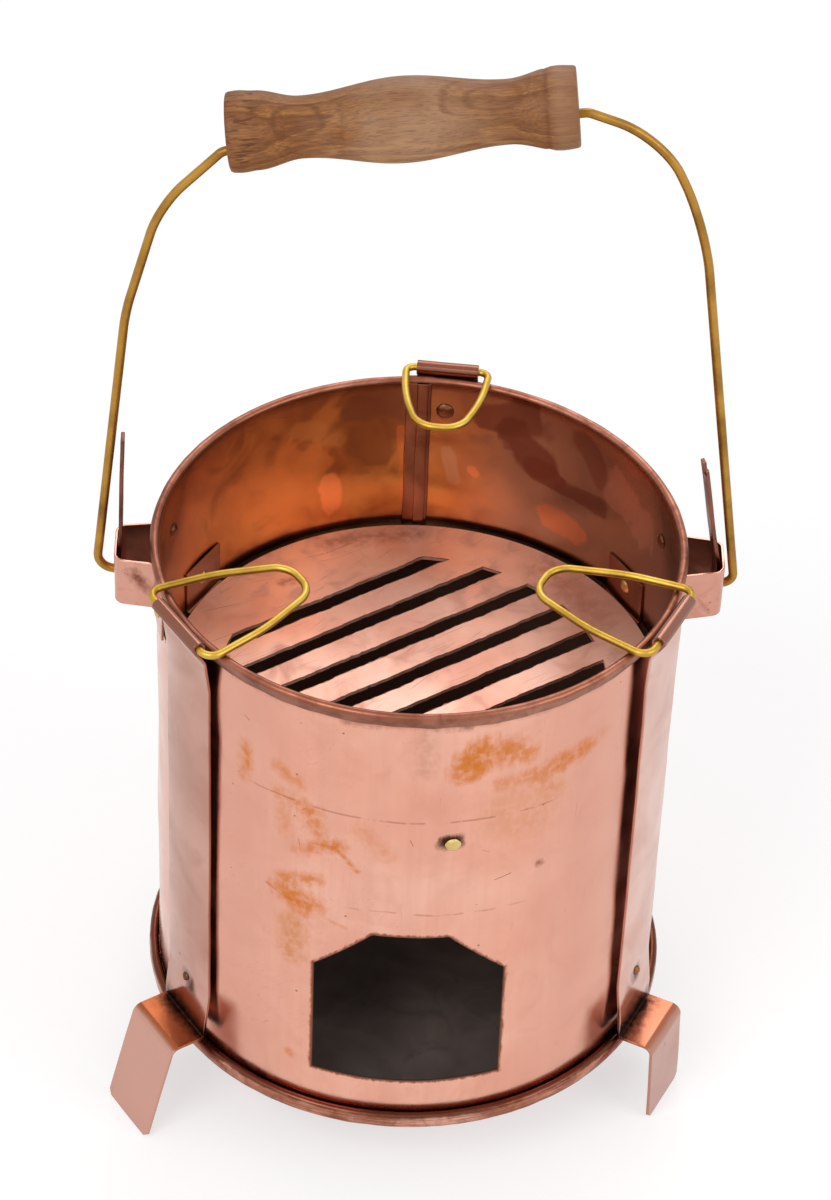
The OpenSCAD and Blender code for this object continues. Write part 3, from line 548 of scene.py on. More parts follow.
def turnedWood(name, look):
    # turned hardwood, oiled: rings cut slantwise by the lathe show as pointed figure, with fine
    # pores along the grain, darker ends and a paler middle that is a painted sheen
    material, add, where = newMaterial(name)
    laid = add('Mapping', {'Vector': where, 'Rotation': look["turn"], 'Location': look["centre"]},
               vector_type='TEXTURE')
    long = add('Mapping', {'Vector': laid, 'Scale': (14, 90, 90)})    # waves of about 70 by 11 mm
    warp = add('TexNoise', {'Vector': long, 'Scale': 1.0, 'Detail': 3.0}, out='Color')
    bent = add('VectorMath', {0: warp, 1: (0.0, 0.020, 0.020)}, operation='MULTIPLY')
    moved = add('VectorMath', {0: laid, 1: bent}, operation='ADD')
    pith = add('Mapping', {'Vector': moved, 'Location': look["pith"], 'Rotation': look["slant"]})
    rings = add('TexWave', {'Vector': pith, 'Scale': every(look["ring"]) / 6.283 * 2, 'Distortion': 1.2,
                            'Detail': 3.0, 'Detail Scale': 1.2}, out='Fac', wave_type='RINGS',
                rings_direction='X', wave_profile='SAW')
    base = add('ValToRGB', {'Fac': rings},
               stops=[(0.0, look["light"]), (0.55, look["body"]), (0.92, look["dark"]), (1.0, look["body"])])
    fibres = add('Mapping', {'Vector': laid, 'Scale': (70, 1900, 1900)})    # fibres of 14 by 0.5 mm
    fibre = add('TexNoise', {'Vector': fibres, 'Scale': 1.0, 'Detail': 4.0, 'Roughness': 0.6})
    pores = add('ValToRGB', {'Fac': fibre}, stops=[(0.42, 0.55), (0.58, 0.0)])
    along = add('SeparateXYZ', {'Vector': laid}, out='X')
    middle = add('Math', {0: along}, operation='ABSOLUTE')
    # painted sheen: broad pale patches, strongest in the middle of the grip, stand in for its highlight
    broad = add('TexNoise', {'Vector': laid, 'Scale': every(30), 'Detail': 3.0})
    sheenPatches = add('ValToRGB', {'Fac': broad}, stops=[(0.34, 0.1), (0.60, 0.75)])
    sheenMiddle = add('MapRange', {'Value': middle, 'From Min': 12 * mm, 'From Max': 38 * mm, 'To Min': 1.0,
                            'To Max': 0.15})
    layers = [(pores, look["pore"]), (add('Math', {0: sheenPatches, 1: sheenMiddle}, operation='MULTIPLY'), look["pale"])]
    facing = add('Mapping', {'Vector': moved, 'Rotation': (math.radians(40), 0, 0)})
    for x, up, spacing, stretch, reach, tone, strength in look["figures"]:
        layers.append((figureMask(add, facing, x, up, spacing, stretch, reach, strength), tone))
    for ticks in look["ticks"]:
        layers.append((tickMask(add, laid, along, *ticks), look["pore"]))
    groove = add('Math', {0: along, 1: look["groove"] * mm}, operation='SUBTRACT')
    groove = add('Math', {0: groove}, operation='ABSOLUTE')
    layers.append((add('MapRange', {'Value': groove, 'From Min': 0.3 * mm, 'From Max': 1.4 * mm,
                                    'To Min': 0.35, 'To Max': 0.0}), look["pore"]))
    layers.append((add('MapRange', {'Value': along, 'From Min': look["groove"] * mm,
                                    'From Max': (look["groove"] + 4) * mm, 'To Max': 0.35}), look["pale"]))
    atEnd = add('MapRange', {'Value': middle, 'From Min': 57 * mm, 'From Max': 63 * mm})
    layers.append((add('ValToRGB', {'Fac': atEnd}, stops=[(0.0, 0.0), (1.0, 0.4)]), look["dark"]))
    bump = add('Bump', {'Height': fibre, 'Distance': 0.12 * mm, 'Strength': 0.5})
    lathe = add('TexWave', {'Vector': laid, 'Scale': every(1.1) / 6.283 * 2, 'Distortion': 0.6}, out='Fac',
                wave_type='BANDS', bands_direction='X')
    bump = add('Bump', {'Height': lathe, 'Distance': 0.02 * mm, 'Strength': 0.5, 'Normal': bump})
    rough = add('MapRange', {'Value': fibre, 'To Min': 0.42, 'To Max': 0.62})
    shader = add('BsdfPrincipled', {'Base Color': layered(add, base, layers), 'Roughness': rough,
                                    'Normal': bump, 'IOR': 1.5, 'Specular IOR Level': 0.25})
    add('OutputMaterial', {'Surface': shader})
    return material


# stains on the wall, and painted shade in the front rivet's hollow: azimuth and height of both ends, reach
# (twice the radius that shows), strength, tone
orange, tan = '#CE762F', '#CE8A58'
wallStainsAndHollowShade = atPlaces(100, [
    (9.5, 217.2, 13.6, 224, 8, 0.97, orange), (10, 223, 13, 218, 7, 0.90, orange),
    (11.8, 229, 15.2, 231.4, 5.5, 0.62, orange), (14.9, 225.6, 20.9, 225.9, 7.5, 0.80, orange),
    (20, 223.9, 25, 220.6, 6, 0.55, orange), (17.7, 219.5, 24.1, 219.2, 5.5, 0.55, orange),
    (9.1, 213.2, 12.2, 213.5, 4, 0.70, orange), (27.3, 208.1, 32.2, 210.5, 7, 0.70, orange),
    (32.2, 210.5, 38.9, 211.7, 6.5, 0.88, orange), (38.9, 212.3, 44.1, 214.6, 5, 0.42, orange),
    (18, 207.9, 26.3, 208.8, 5, 0.50, orange), (28.7, 203.1, 30.9, 197.4, 6, 0.38, orange),
    (17.4, 189.4, 25.7, 181.8, 11, 0.34, tan), (19.4, 199.7, 30.2, 195.4, 14, 0.32, tan),
    (-39.6, 208.7, -40.1, 193, 5, 0.60, orange), (-39.3, 206.5, -38.4, 199.8, 3.4, 0.70, orange),
    (-30.8, 206, -26.1, 201.7, 5.2, 0.62, orange), (-30.9, 194.3, -22, 189.9, 5.2, 0.58, orange),
    (-29.6, 187.8, -29, 175.5, 5.5, 0.42, orange), (-23.3, 189, -21.6, 181, 7, 0.72, orange),
    (-21.8, 172.1, -16.1, 175.4, 5, 0.95, orange), (-26.2, 167.4, -22.4, 170.1, 4.5, 0.52, orange),
    (-17, 174, -12.2, 164.3, 1.7, 0.80, orange), (-11.8, 186.1, -6.2, 175, 6.5, 0.34, orange),
    (-29.6, 150.6, -21.1, 155.4, 4.8, 0.78, orange), (-29.3, 144, -22.2, 141.6, 8, 0.95, orange),
    (-27.5, 142.9, -25, 136.9, 5.5, 0.97, orange), (-33.4, 144.4, -14.4, 133.9, 1.3, 0.60, orange),
    (-26.6, 130, -27, 113, 9, 0.85, tan), (-43, 40.5, -34, 39.5, 3.4, 0.9, '#7A4230'),
    (28.6, 161.7, 28.7, 161.5, 2.6, 0.85, '#7E4636'), (1.5, 235.8, 1.8, 218, 7, 0.34, '#A8745A'),
    # painted shade: the three dark smears round the front bracket's rivet (azimuth 6.3 to 9.8, height 180 to
    # 183) darken its hammered hollow
    (-15.7, 238.5, 10.7, 238.8, 2.8, 0.65, '#7E4634'), (6.3, 180.4, 6.8, 182.6, 4.0, 1.0, '#43230F'),
    (6.8, 182.5, 9.2, 183.1, 4.0, 1.0, '#3A2013'), (9.4, 182.4, 9.8, 180.6, 3.0, 1.0, '#43230F'),
    (-27, 58, -26.6, 57.5, 3, 0.7, orange), (-78, 244, -60, 244, 6, 0.4, '#8A5440')])
# cuts: both ends, width, strength; the last one is a painted shadow slit, the shade under the end of the left
# lug's flange
wallCutsAndShadowSlit = atPlaces(100, [
    (18.1, 159.2, 21.8, 161.0, 0.45, 0.75), (-25.7, 173.5, -25.0, 166.7, 0.35, 0.6),
    (-0.9, 183.2, -0.2, 180.3, 0.35, 0.6), (-33.7, 144.4, -30.5, 142.2, 0.3, 0.6),
    (-30.5, 142.2, -27.0, 140.2, 0.3, 0.5), (-43.6, 109.2, -39.0, 105.6, 0.3, 0.5),
    (-2.9, 158, -2.1, 143, 0.25, 0.35), (-39.9, 224, -38.6, 222.4, 0.7, 0.6),
    (-41.2, 222.6, -39.4, 223.2, 0.6, 0.5), (-18.3, 147.6, -17.2, 146.4, 0.4, 0.7),
    (14.8, 176, 16.4, 174.6, 0.25, 0.4), (-73.2, 217, -73.2, 228, 1.7, 1.0)])
# hairlines: length, width, turn, how rare, strength, seed
wallHairs = [(26, 0.35, (0.2, 0.75, 0.5), 0.56, 0.40, 0.3), (34, 0.4, (0.1, 1.5, 0.0), 0.50, 0.22, 0.7),
             (14, 0.3, (0.0, 0.1, 0.2), 0.58, 0.35, 1.9)]
polishedCopper = copperSheet("polished copper sheet", dict(
    body='#E9AC96', light='#EDB5A0', dark='#E3A28C', tarnish='#D5947D', scratch='#834936',
    roughness=(0.16, 0.26), film=0.35, pitSpacing=8, rippleDepth=0.3, stainsAndPaintedLight=wallStainsAndHollowShade, cuts=wallCutsAndShadowSlit,
    hairs=wallHairs, streaks=[(7, 120, '#D89B86', 0.25)], doorEdge=(1.5, '#7A3F26', 0.9),
    scribed=[(192.3, 3, 0.65, 0.42, 0.47, -64, 54), (144, 5, 0.60, 0.36, 0.46, -26, 44)],
    # painted shade: the ('Y', -98, -76) zone paints the drum's sides darker than its front, as the darker
    # surroundings they mirror
    # painted shade: the ('Z', 41, 36) zone darkens the crease where the wall meets the base
    zones=[('Y', -98, -76, '#D69B87', 0.75, 4), ('Z', 41, 36, '#7A4432', 0.8, 5),
           ('Z', 237.5, 241, '#A9715C', 0.7, 5)]))

strapHairs = [(30, 0.35, (0.1, 1.4, 0.0), 0.50, 0.3, 0.4)]
# painted reflection: the shelf tone paints the copper wall's orange reflection on each shelf and the bend
# above it
# painted shade: the hollow tone darkens the hollow round each lower strap rivet, and '#2E1811' does the same
# on the back strap
kneeTone, shelfReflectionTone, creaseShadeTone, hollowShadeTone = '#80503F', '#9E5430', '#2A1712', '#4E2010'


def strapCreaseShade(azimuth, radius, height):
    # painted shade: a dark band in the crease over the shelf
    return atPlaces(radius, [(azimuth - 6, height + 1, azimuth + 9, height + 1, 8.0, 1.0, creaseShadeTone)])


# the straps are one copper with painted light: the left one painted darker as shade, the right one painted
# lighter as a highlight
strapLeftCopper = copperSheet("copper strip, painted shaded", dict(
    body='#BF9081', light='#C99C8D', dark='#B48373', tarnish='#A87361', roughness=(0.15, 0.26), film=0.35,
    hairs=strapHairs, pitSpacing=13,
    zones=[('Z', 243, 246, kneeTone, 0.85, 3), ('Z', 47, 44.5, shelfReflectionTone, 0.95, 2),
           ('Z', 44.0, 42.4, '#C9998A', 1.0, 1)],
    stainsAndPaintedLight=strapCreaseShade(-57.5, 103.9, 44.1) + atPlaces(103, [(-56.6, 67.5, -55.4, 63.5, 5.0, 1.0, hollowShadeTone)])))
strapRightCopper = copperSheet("copper strip, painted highlight", dict(
    body='#D9AEA1', light='#E2BDB1', dark='#CFA092', tarnish='#BC8A78', roughness=(0.15, 0.26), film=0.30,
    hairs=strapHairs, pitSpacing=13,
    zones=[('Z', 243, 246, kneeTone, 0.85, 3), ('Z', 42.6, 40.2, shelfReflectionTone, 0.85, 2),
           ('Z', 39.7, 38.1, '#B98879', 1.0, 1)],
    stainsAndPaintedLight=strapCreaseShade(60, 104.2, 39.2) + atPlaces(103, [(62.3, 67, 62.7, 63, 5.0, 1.0, hollowShadeTone)])))
strapBackCopper = copperSheet("copper strip", dict(
    body='#CF9D8C', light='#D8AA9A', dark='#C18C7A', tarnish='#A9705B', roughness=(0.18, 0.30), film=0.45,
    hairs=strapHairs, pitSpacing=13,
    zones=[('Z', 241, 245, '#7E4A38', 0.9, 3), ('Z', 42.6, 40.2, shelfReflectionTone, 0.7, 2),
           ('Z', 38, 34, '#C69483', 0.9, 2)],
    stainsAndPaintedLight=strapCreaseShade(172, 104.2, 39.2) + atPlaces(103, [(173.4, 67, 173.6, 63, 2.4, 1.0, '#2E1811')])))
sootAndPaintedLightCopper = copperSheet("heat-stained copper inside the drum", dict(
    body='#C58147', light='#D3904F', dark='#A86A3C', tarnish='#8A5230', roughness=(0.20, 0.32), cloud=34,
    patch=30, film=0.65, filmFrom=0.50, filmFull=0.66, pitSpacing=14, pit=0.4, ripple=30, rippleDepth=0.7,
    clouded=True, sooted=(167, 174),
    # painted shadow: the ('Z', 183, 175) zone darkens the wall along the grate's top
    zones=[('X', 2, 46, '#846758', 0.88, 10), ('Z', 183, 175, '#7A4A32', 0.7, 6),
           ('Z', 174, 167, '#5A3A2C', 1.0, 4), ('Z', 236, 244, '#96644A', 0.5, 5)],
    stainsAndPaintedLight=atPlaces(99, [
        # painted reflections: the bright orange smears from azimuth -138 to -178 stand in for reflections in
        # the wall
        (-138, 209, -157, 180, 26, 0.40, '#E08A4C'), (-149, 218, -159, 209, 13, 0.50, '#E59150'),
        (-152, 229, -162, 219, 9, 0.40, '#D99A58'), (-160, 201, -160, 187, 8, 0.62, '#FFA066'),
        (-172, 230, -168, 216, 28, 0.66, '#7E4E31'), (-176, 222, -177.8, 186, 3.6, 0.5, '#E2854C'),
        (-168, 238, 168, 236, 20, 0.55, '#7E503C'), (163, 233, 153, 235, 17, 0.80, '#6E4232'),
        (157, 226, 151, 217, 16, 0.85, '#6A3E2E'), (151, 213, 146, 209, 11, 0.85, '#6A3E2E'),
        (144, 208, 133, 210, 9, 0.80, '#704434'), (138, 236, 134, 225, 12, 0.65, '#744838'),
        (147, 192, 138, 190, 12, 0.40, '#CF7846'), (167, 204, 166, 202, 4, 0.45, '#E88C54'),
        (173, 212, 171, 198, 5, 0.28, '#C9A888'), (126, 224, 116, 218, 18, 0.45, '#B8917E')])))
seamCopper = copperSheet("folded seam, browned", dict(
    body='#93624A', light='#A5735A', dark='#75462F', tarnish='#5E3524', roughness=(0.24, 0.36), film=0.6,
    pitSpacing=12, ripple=14, sooted=(164, 171), zones=[('Z', 172, 165, '#5A3A2C', 1.0, 4)]))
grateCopper = copperSheet("scraped copper plate", dict(
    body='#F6C3AF', light='#FBD0BF', dark='#ECB09B', tarnish='#D2907A', scratch='#A9664F', metallic=0.75,
    roughness=(0.46, 0.60), film=0.5, patch=18, pitSpacing=16, ripple=20, rippleDepth=0.3,
    stainsAndPaintedLight=[((-36, 84, 175), (2, 91, 175), 7, 0.55, '#96583F'),
            ((-52, 58, 175), (-46, 60, 175), 4, 0.6, '#8A4E38'),
            ((52, 70, 175), (74, 40, 175), 12, 0.4, '#B0664C')],
    hairs=[(40, 0.55, (0, 0, math.radians(-34)), 0.34, 0.65, 0.2),
           (24, 0.5, (0, 0, math.radians(-20)), 0.40, 0.6, 1.2),
           (18, 0.6, (0, 0, math.radians(-48)), 0.44, 0.55, 2.4)]))
burrCopper = copperSheet("bare copper burr", dict(
    body='#C98F79', light='#DBA591', dark='#9E6350', tarnish='#7E4836', roughness=(0.3, 0.44), film=0.6,
    filmFrom=0.42, filmFull=0.6, patch=8, pitSpacing=9))
rimCopper = copperSheet("rolled copper edge", dict(
    body='#9A614D', light='#B47A65', dark='#7D4937', tarnish='#6C3A2A', roughness=(0.34, 0.48), film=0.5,
    filmFrom=0.46, filmFull=0.66, patch=9, pitSpacing=9, ripple=9, rippleDepth=0.3))
baseEdgeCopper = copperSheet("rolled copper edge, knocked", dict(
    body='#BE8069', light='#D89F8A', dark='#92583F', tarnish='#733D2B', roughness=(0.20, 0.34), film=0.5,
    filmFrom=0.46, filmFull=0.66, patch=8, pitSpacing=9, ripple=7, rippleDepth=0.5,
    # painted shade: the zone darkens the bead's top in the gap against the wall
    streaks=[(26, 0.7, '#6A3626', 0.65)], zones=[('Z', 36.4, 37.6, '#522A1D', 0.9, 2)]))
sootBlack = copperSheet("copper under soot", dict(
    body='#62554F', light='#72645D', dark='#4E433E', tarnish='#413833', roughness=(0.8, 0.95), film=0.5,
    pitSpacing=20, metallic=0.0))
# painted shade: this dark finish is the inside of each lug, painted as the shade that falls there
lugShadeCopper = copperSheet("copper strip inside the lug, painted shade", dict(
    body='#6A4032', light='#7E5040', dark='#4C2A20', tarnish='#3A2018', roughness=(0.34, 0.50), film=0.55,
    pitSpacing=9, ripple=9))
# painted shade: the stays are painted dark, as their faces in shade
stayShadeCopper = copperSheet("copper bar, painted shade", dict(
    body='#7B4E40', light='#93604F', dark='#5A3428', tarnish='#452418', roughness=(0.32, 0.48), film=0.55,
    pitSpacing=9, ripple=9))
lugCopper = copperSheet("copper strip, dented", dict(
    body='#CF9683', light='#D9A391', dark='#C28671', tarnish='#A8674F', roughness=(0.20, 0.32), film=0.45,
    patch=12, hairs=strapHairs, pitSpacing=5, pit=0.75,
    stainsAndPaintedLight=[((-109, -7, 232), (-103, -7, 226), 4.5, 0.85, '#6E2F1E'),
            ((103, -6, 232), (112, -6, 219), 1.2, 0.7, '#8A4A36')]))
bailBrass = brassWire("drawn brass wire, dulled", dict(
    body='#B3853A', light='#C6984A', dark='#86602C', roughness=(0.38, 0.50)))
restBrass = brassWire("drawn brass wire, bright", dict(
    body='#C9A244', light='#DABA60', dark='#A07C30', roughness=(0.36, 0.48)))
rivetBrass = brassWire("hammered brass", dict(
    body='#D2B26E', light='#E6D09A', dark='#9C7A44', roughness=(0.30, 0.44)))
brownedBrass = brassWire("hammered brass, browned by heat", dict(
    body='#86583A', light='#A5764C', dark='#5E3A26', roughness=(0.30, 0.44)))
# figures: place along and up, spacing, stretch, reach, tone, strength; ticks: length, width, where they
# are full and gone, strength
gripWood = turnedWood("turned hardwood, oiled", dict(
    body='#996135', light='#A97240', pale='#AD8769', dark='#7E4A22', pore='#5E361A', ring=7.0, groove=51.5,
    figures=[(-37, 16, 5.5, 1.4, 15, '#63381B', 0.50), (33, 20, 3.8, 2.2, 14, '#70411F', 0.45),
             (1, -7, 5.0, 4.5, 16, '#C39468', 0.70)],
    ticks=[(5, 0.5, 72, 74, 0.32), (6, 1.1, -53, -48, 0.9)], turn=(0, math.radians(-6.85), 0),
    centre=Vector((-11.7, 4.5, 435.1)) * mm, pith=Vector((0, 6, -22)) * mm, slant=(0.0, 0.06, 0.05)))
print("materials ready")


def buildDrum():
    # the wall is one sheet, with the door cut in it
    bm = bmesh.new()
    middle = drum["radius"] - drum["sheet"] / 2
    ring = bmesh.ops.create_circle(bm, segments=drum["rounds"], radius=middle * mm)["verts"]
    bmesh.ops.translate(bm, verts=ring, vec=(0, 0, drum["floor"] * mm))
    edges = list({e for v in ring for e in v.link_edges})
    rise = (drum["rim"] - drum["floor"]) / drum["rows"]
    for row in range(drum["rows"]):
        made = bmesh.ops.extrude_edge_only(bm, edges=edges)["geom"]
        edges = partsOf(made, bmesh.types.BMEdge)
        bmesh.ops.translate(bm, verts=partsOf(made, bmesh.types.BMVert), vec=(0, 0, rise * mm))
    cutDoor(bm)
    for v in bm.verts:
        height = v.co.z / mm
        (low, lowFade), (high, highFade) = drum["calmLow"], drum["calmHigh"]
        calm = share((height - low) / lowFade) * share((high - height) / highFade)
        v.co += radial(v.co) * (wobble(v.co, *drum["longDent"]) + wobble(v.co, *drum["shortDent"])) * calm
    front = turned(frontDint["azimuth"]) @ (Vector((drum["radius"], 0, frontDint["height"])) * mm)
    for v in bm.verts:
        away = (v.co - front).length / (frontDint["radius"] * mm)
        v.co -= radial(v.co) * frontDint["depth"] * mm * math.exp(-away * away * frontDint["steepness"])
    faceOutwards(bm, radial)
    piece = finishPiece("drumWall", bm, "brazier", [polishedCopper, sootAndPaintedLightCopper], ("drum",), 45)
    addThickness(piece, drum["sheet"], hiddenFinish=1).material_offset_rim = 1
    piece.modifiers.new("flat faces", 'WEIGHTED_NORMAL').keep_sharp = True


def cutDoor(bm, margin=8):
    # the door is cut along its six straight edges, in the front of the wall only
    half, slope = drum["doorWidth"] / 2, (drum["doorWidth"] - drum["doorTop"]) / 2
    rise = drum["doorHead"] - drum["shoulder"]
    cuts = [((half, 0, 0), (1, 0, 0)), ((-half, 0, 0), (-1, 0, 0)), ((0, 0, drum["sill"]), (0, 0, -1)),
            ((0, 0, drum["doorHead"]), (0, 0, 1)), ((half, 0, drum["shoulder"]), (rise, 0, slope)),
            ((-half, 0, drum["shoulder"]), (-rise, 0, slope))]
    low, high = (drum["sill"] - margin) * mm, (drum["doorHead"] + margin) * mm
    for place, way in cuts:
        near = [f for f in bm.faces if f.calc_center_median().y < -0.8 * drum["radius"] * mm
                and low < f.calc_center_median().z < high]
        bmesh.ops.bisect_plane(bm, geom=withBorders(near), plane_co=Vector(place) * mm, plane_no=way)
    limits = [(Vector(place) * mm, Vector(way)) for place, way in cuts]
    hole = [f for f in bm.faces if f.calc_center_median().y < 0
            and all((f.calc_center_median() - place).dot(way) < 0 for place, way in limits)]
    bmesh.ops.delete(bm, geom=hole, context='FACES')


def spinSection(bm, section):
    # a closed section, given as radius and height, spun about the drum's axis
    line = [bm.verts.new((radius * mm, 0, height * mm)) for radius, height in section]
    edges = [bm.edges.new(pair) for pair in zip(line, line[1:] + line[:1])]
    bmesh.ops.spin(bm, geom=line + edges, cent=(0, 0, 0), axis=(0, 0, 1), angle=math.tau,
                   steps=drum["rounds"], use_merge=True)
    bmesh.ops.remove_doubles(bm, verts=bm.verts, dist=0.005 * mm)
    bmesh.ops.recalc_face_normals(bm, faces=bm.faces)


# the wall's sheet is rolled over a wire, and its hem is beaten flat against the outside; the roll
# laps over itself at the back
rim = dict(hemProud=0.85, underHem=99.75, lapAzimuth=180, lapHalf=2.7, lapFade=0.6, lapRise=0.2, uneven=0.16,
           unevenSpan=7, wander=0.55, wanderSpan=9)


def buildRim():
    bm = bmesh.new()
    hemLow = drum["rim"] - drum["hem"]
    hemOut = drum["radius"] + rim["hemProud"]
    spinSection(bm, arc((drum["rimRadius"], drum["rim"]), drum["bead"], 180, -14, 16)
                + [(101.75, hemLow + 2.6), (101.15, hemLow + 0.9), (hemOut, hemLow + 0.25),
                   (hemOut - 0.3, hemLow), (rim["underHem"], hemLow), (rim["underHem"], drum["rim"] - 0.4)])
    for v in bm.verts:
        out = radial(v.co)
        core = out * drum["rimRadius"] * mm + Vector((0, 0, drum["rim"] * mm))
        azimuth = math.degrees(math.atan2(v.co.x, -v.co.y)) % 360
        lap = share((rim["lapHalf"] + rim["lapFade"] - abs(azimuth - rim["lapAzimuth"])) / rim["lapFade"])
        if v.co.z > (drum["rim"] - 1.9) * mm:
            v.co = core + (v.co - core) * (1 + rim["lapRise"] * lap)
        outside = share((Vector((v.co.x, v.co.y, 0)).length / mm - drum["radius"]) / 0.8)
        v.co += out * wobble(v.co, rim["unevenSpan"], rim["uneven"]) * outside
        if v.co.z < (hemLow + 1) * mm:
            v.co.z += wobble(out * 0.1, rim["wanderSpan"], rim["wander"])
    finishPiece("rimBead", bm, "brazier", [rimCopper], ("rim_wire",), 50)


# the lock seam inside the back: a flat fold with a narrower ridge on it
seam = dict(width=10, proud=1.2, ridge=4.6, ridgeProud=0.55, ridgeShift=1.6, low=35.4, high=245.6,
            outer=99.35, softened=0.5, cuts=40)


def upright(edges):
    return [e for e in edges if abs((e.verts[0].co - e.verts[1].co).z) > 1 * mm]


def buildSeam():
    bm = bmesh.new()
    tall, middle = seam["high"] - seam["low"], (seam["high"] + seam["low"]) / 2
    for width, proud, shift in ((seam["width"], seam["proud"], 0),
                                (seam["ridge"], seam["proud"] + seam["ridgeProud"], seam["ridgeShift"])):
        made = bmesh.ops.create_cube(bm, size=1)["verts"]
        bmesh.ops.scale(bm, verts=made, vec=(width * mm, proud * mm, tall * mm))
        bmesh.ops.translate(bm, verts=made, vec=(shift * mm, (seam["outer"] - proud / 2) * mm, middle * mm))
        corners = upright({e for v in made for e in v.link_edges})
        bmesh.ops.bevel(bm, geom=corners, offset=seam["softened"] * mm, offset_type='OFFSET', segments=4,
                        profile=0.5, affect='EDGES', material=-1)
    bmesh.ops.subdivide_edges(bm, edges=upright(bm.edges), cuts=seam["cuts"], use_grid_fill=True)
    for v in bm.verts:
        v.co.y += wobble(v.co, 14, 0.16)
        v.co.x += wobble(v.co + Vector((0, 0, 7)), 20, 0.35)
    finishPiece("lockSeam", bm, "brazier", [seamCopper], (), 40)


buildRim()
buildSeam()
buildDrum()
print("drum made")


# base: a disc whose edge is rolled up and down round the wall's foot
base = dict(bead=2.0, beadRadius=102.1, low=33.2, high=36.2, z=34, sheet=1.0, bend=0.6, uneven=0.2,
            unevenSpan=6)


def buildBase():
    bm = bmesh.new()
    left = base["beadRadius"] - base["bead"]
    bentFrom, top = left - base["bend"], base["z"] + base["sheet"]
    spinSection(bm, arc((base["beadRadius"], base["high"]), base["bead"], 180, 0, 10)
                + arc((base["beadRadius"], base["low"]), base["bead"], 0, -180, 10)
                + [(left, base["z"] - base["bend"]), (bentFrom, base["z"]), (bentFrom, top), (left, top)])
    for v in bm.verts:
        if (v.co - Vector((0, 0, v.co.z))).length > (drum["radius"] + 1) * mm:
            push = wobble(v.co, base["unevenSpan"], base["uneven"]) - base["uneven"] / 2 * mm
            v.co += radial(v.co) * push
    disc = bmesh.ops.create_cone(bm, cap_ends=True, segments=drum["rounds"], radius1=(bentFrom + 0.2) * mm,
                                 radius2=(bentFrom + 0.2) * mm, depth=(base["sheet"] - 0.02) * mm)["verts"]
    bmesh.ops.translate(bm, verts=disc, vec=(0, 0, (base["z"] + base["sheet"] / 2) * mm))
    for face in bm.faces:
        # only the disc's upper face is this large and looks up: ash lies on it
        face.material_index = 1 if face.normal.z > 0.9 and face.calc_area() > 0.001 else 0
    finishPiece("basePlate", bm, "brazier", [baseEdgeCopper, sootBlack], ("base_plate",), 40)


buildBase()
print("base made")


# grate: a loose plate with hand-cut slots
grate = dict(radius=96, z=173.5, thickness=1.5, slotCircle=76, slots=7, width=7, pitch=18, turn=34, shift=3.5,
             cutStep=1.6, raggedness=0.42, bow=0.5, nicks=0.25)
burr = dict(thickness=0.16, sunk=0.2, least=0.06, span=3, rise=0.42)


def inSlotCircle(part, spare):
    return all(v.co.length < (grate["slotCircle"] + spare) * mm for v in part.verts)


def buildGrate():
    bm = bmesh.new()
    circles = [bmesh.ops.create_circle(bm, segments=200, radius=size * mm)["verts"]
               for size in (grate["radius"], grate["slotCircle"])]
    outerEdges, innerEdges = [list({e for v in circle for e in v.link_edges}) for circle in circles]
    bmesh.ops.bridge_loops(bm, edges=outerEdges + innerEdges)
    bmesh.ops.contextual_create(bm, geom=innerEdges)
    turn = math.radians(grate["turn"])
    across = Vector((-math.sin(turn), math.cos(turn), 0))
    along = Vector((math.cos(turn), math.sin(turn), 0))
    slots = grate["slots"]
    middles = [grate["shift"] + (i - (slots - 1) / 2) * grate["pitch"] for i in range(slots)]
    for middle in middles:
        for side in (-0.5, 0.5):
            inside = [f for f in bm.faces if inSlotCircle(f, 0.1)]
            bmesh.ops.bisect_plane(bm, geom=withBorders(inside), plane_no=across,
                                   plane_co=across * (middle + side * grate["width"]) * mm)
    gone = [f for f in bm.faces if f.calc_center_median().length < grate["slotCircle"] * mm
            and inSlotCircle(f, 0.1)
            and any(abs(f.calc_center_median().dot(across) / mm - m) < grate["width"] / 2 for m in middles)]
    bmesh.ops.delete(bm, geom=gone, context='FACES')
    for e in [e for e in bm.edges if e.is_boundary and e.calc_length() > 4 * mm]:
        cuts = max(1, int(e.calc_length() / (grate["cutStep"] * mm)))
        bmesh.ops.subdivide_edges(bm, edges=[e], cuts=cuts)
    for v in [v for v in bm.verts if v.is_boundary and v.co.length < (grate["radius"] - 3) * mm]:
        v.co += across * (wobble(v.co, 2.6, grate["raggedness"]) + wobble(v.co, 14, grate["bow"]))
        v.co += along * wobble(v.co + Vector((0, 0, 1)), 3, grate["nicks"])
    slotEdges = [[v.co.copy() for v in e.verts] for e in bm.edges if e.is_boundary and inSlotCircle(e, 1)]
    faceOutwards(bm, lambda place: Vector((0, 0, 1)))
    bmesh.ops.triangulate(bm, faces=[f for f in bm.faces if len(f.verts) > 4])
    upper = bmesh.ops.extrude_face_region(bm, geom=bm.faces[:])["geom"]
    bmesh.ops.translate(bm, verts=partsOf(upper, bmesh.types.BMVert), vec=(0, 0, grate["thickness"] * mm))
    bmesh.ops.recalc_face_normals(bm, faces=bm.faces)
    bmesh.ops.translate(bm, verts=bm.verts, vec=(0, 0, grate["z"] * mm))
    finishPiece("gratePlate", bm, "grate", [grateCopper], ("grate",), 40)
    return slotEdges


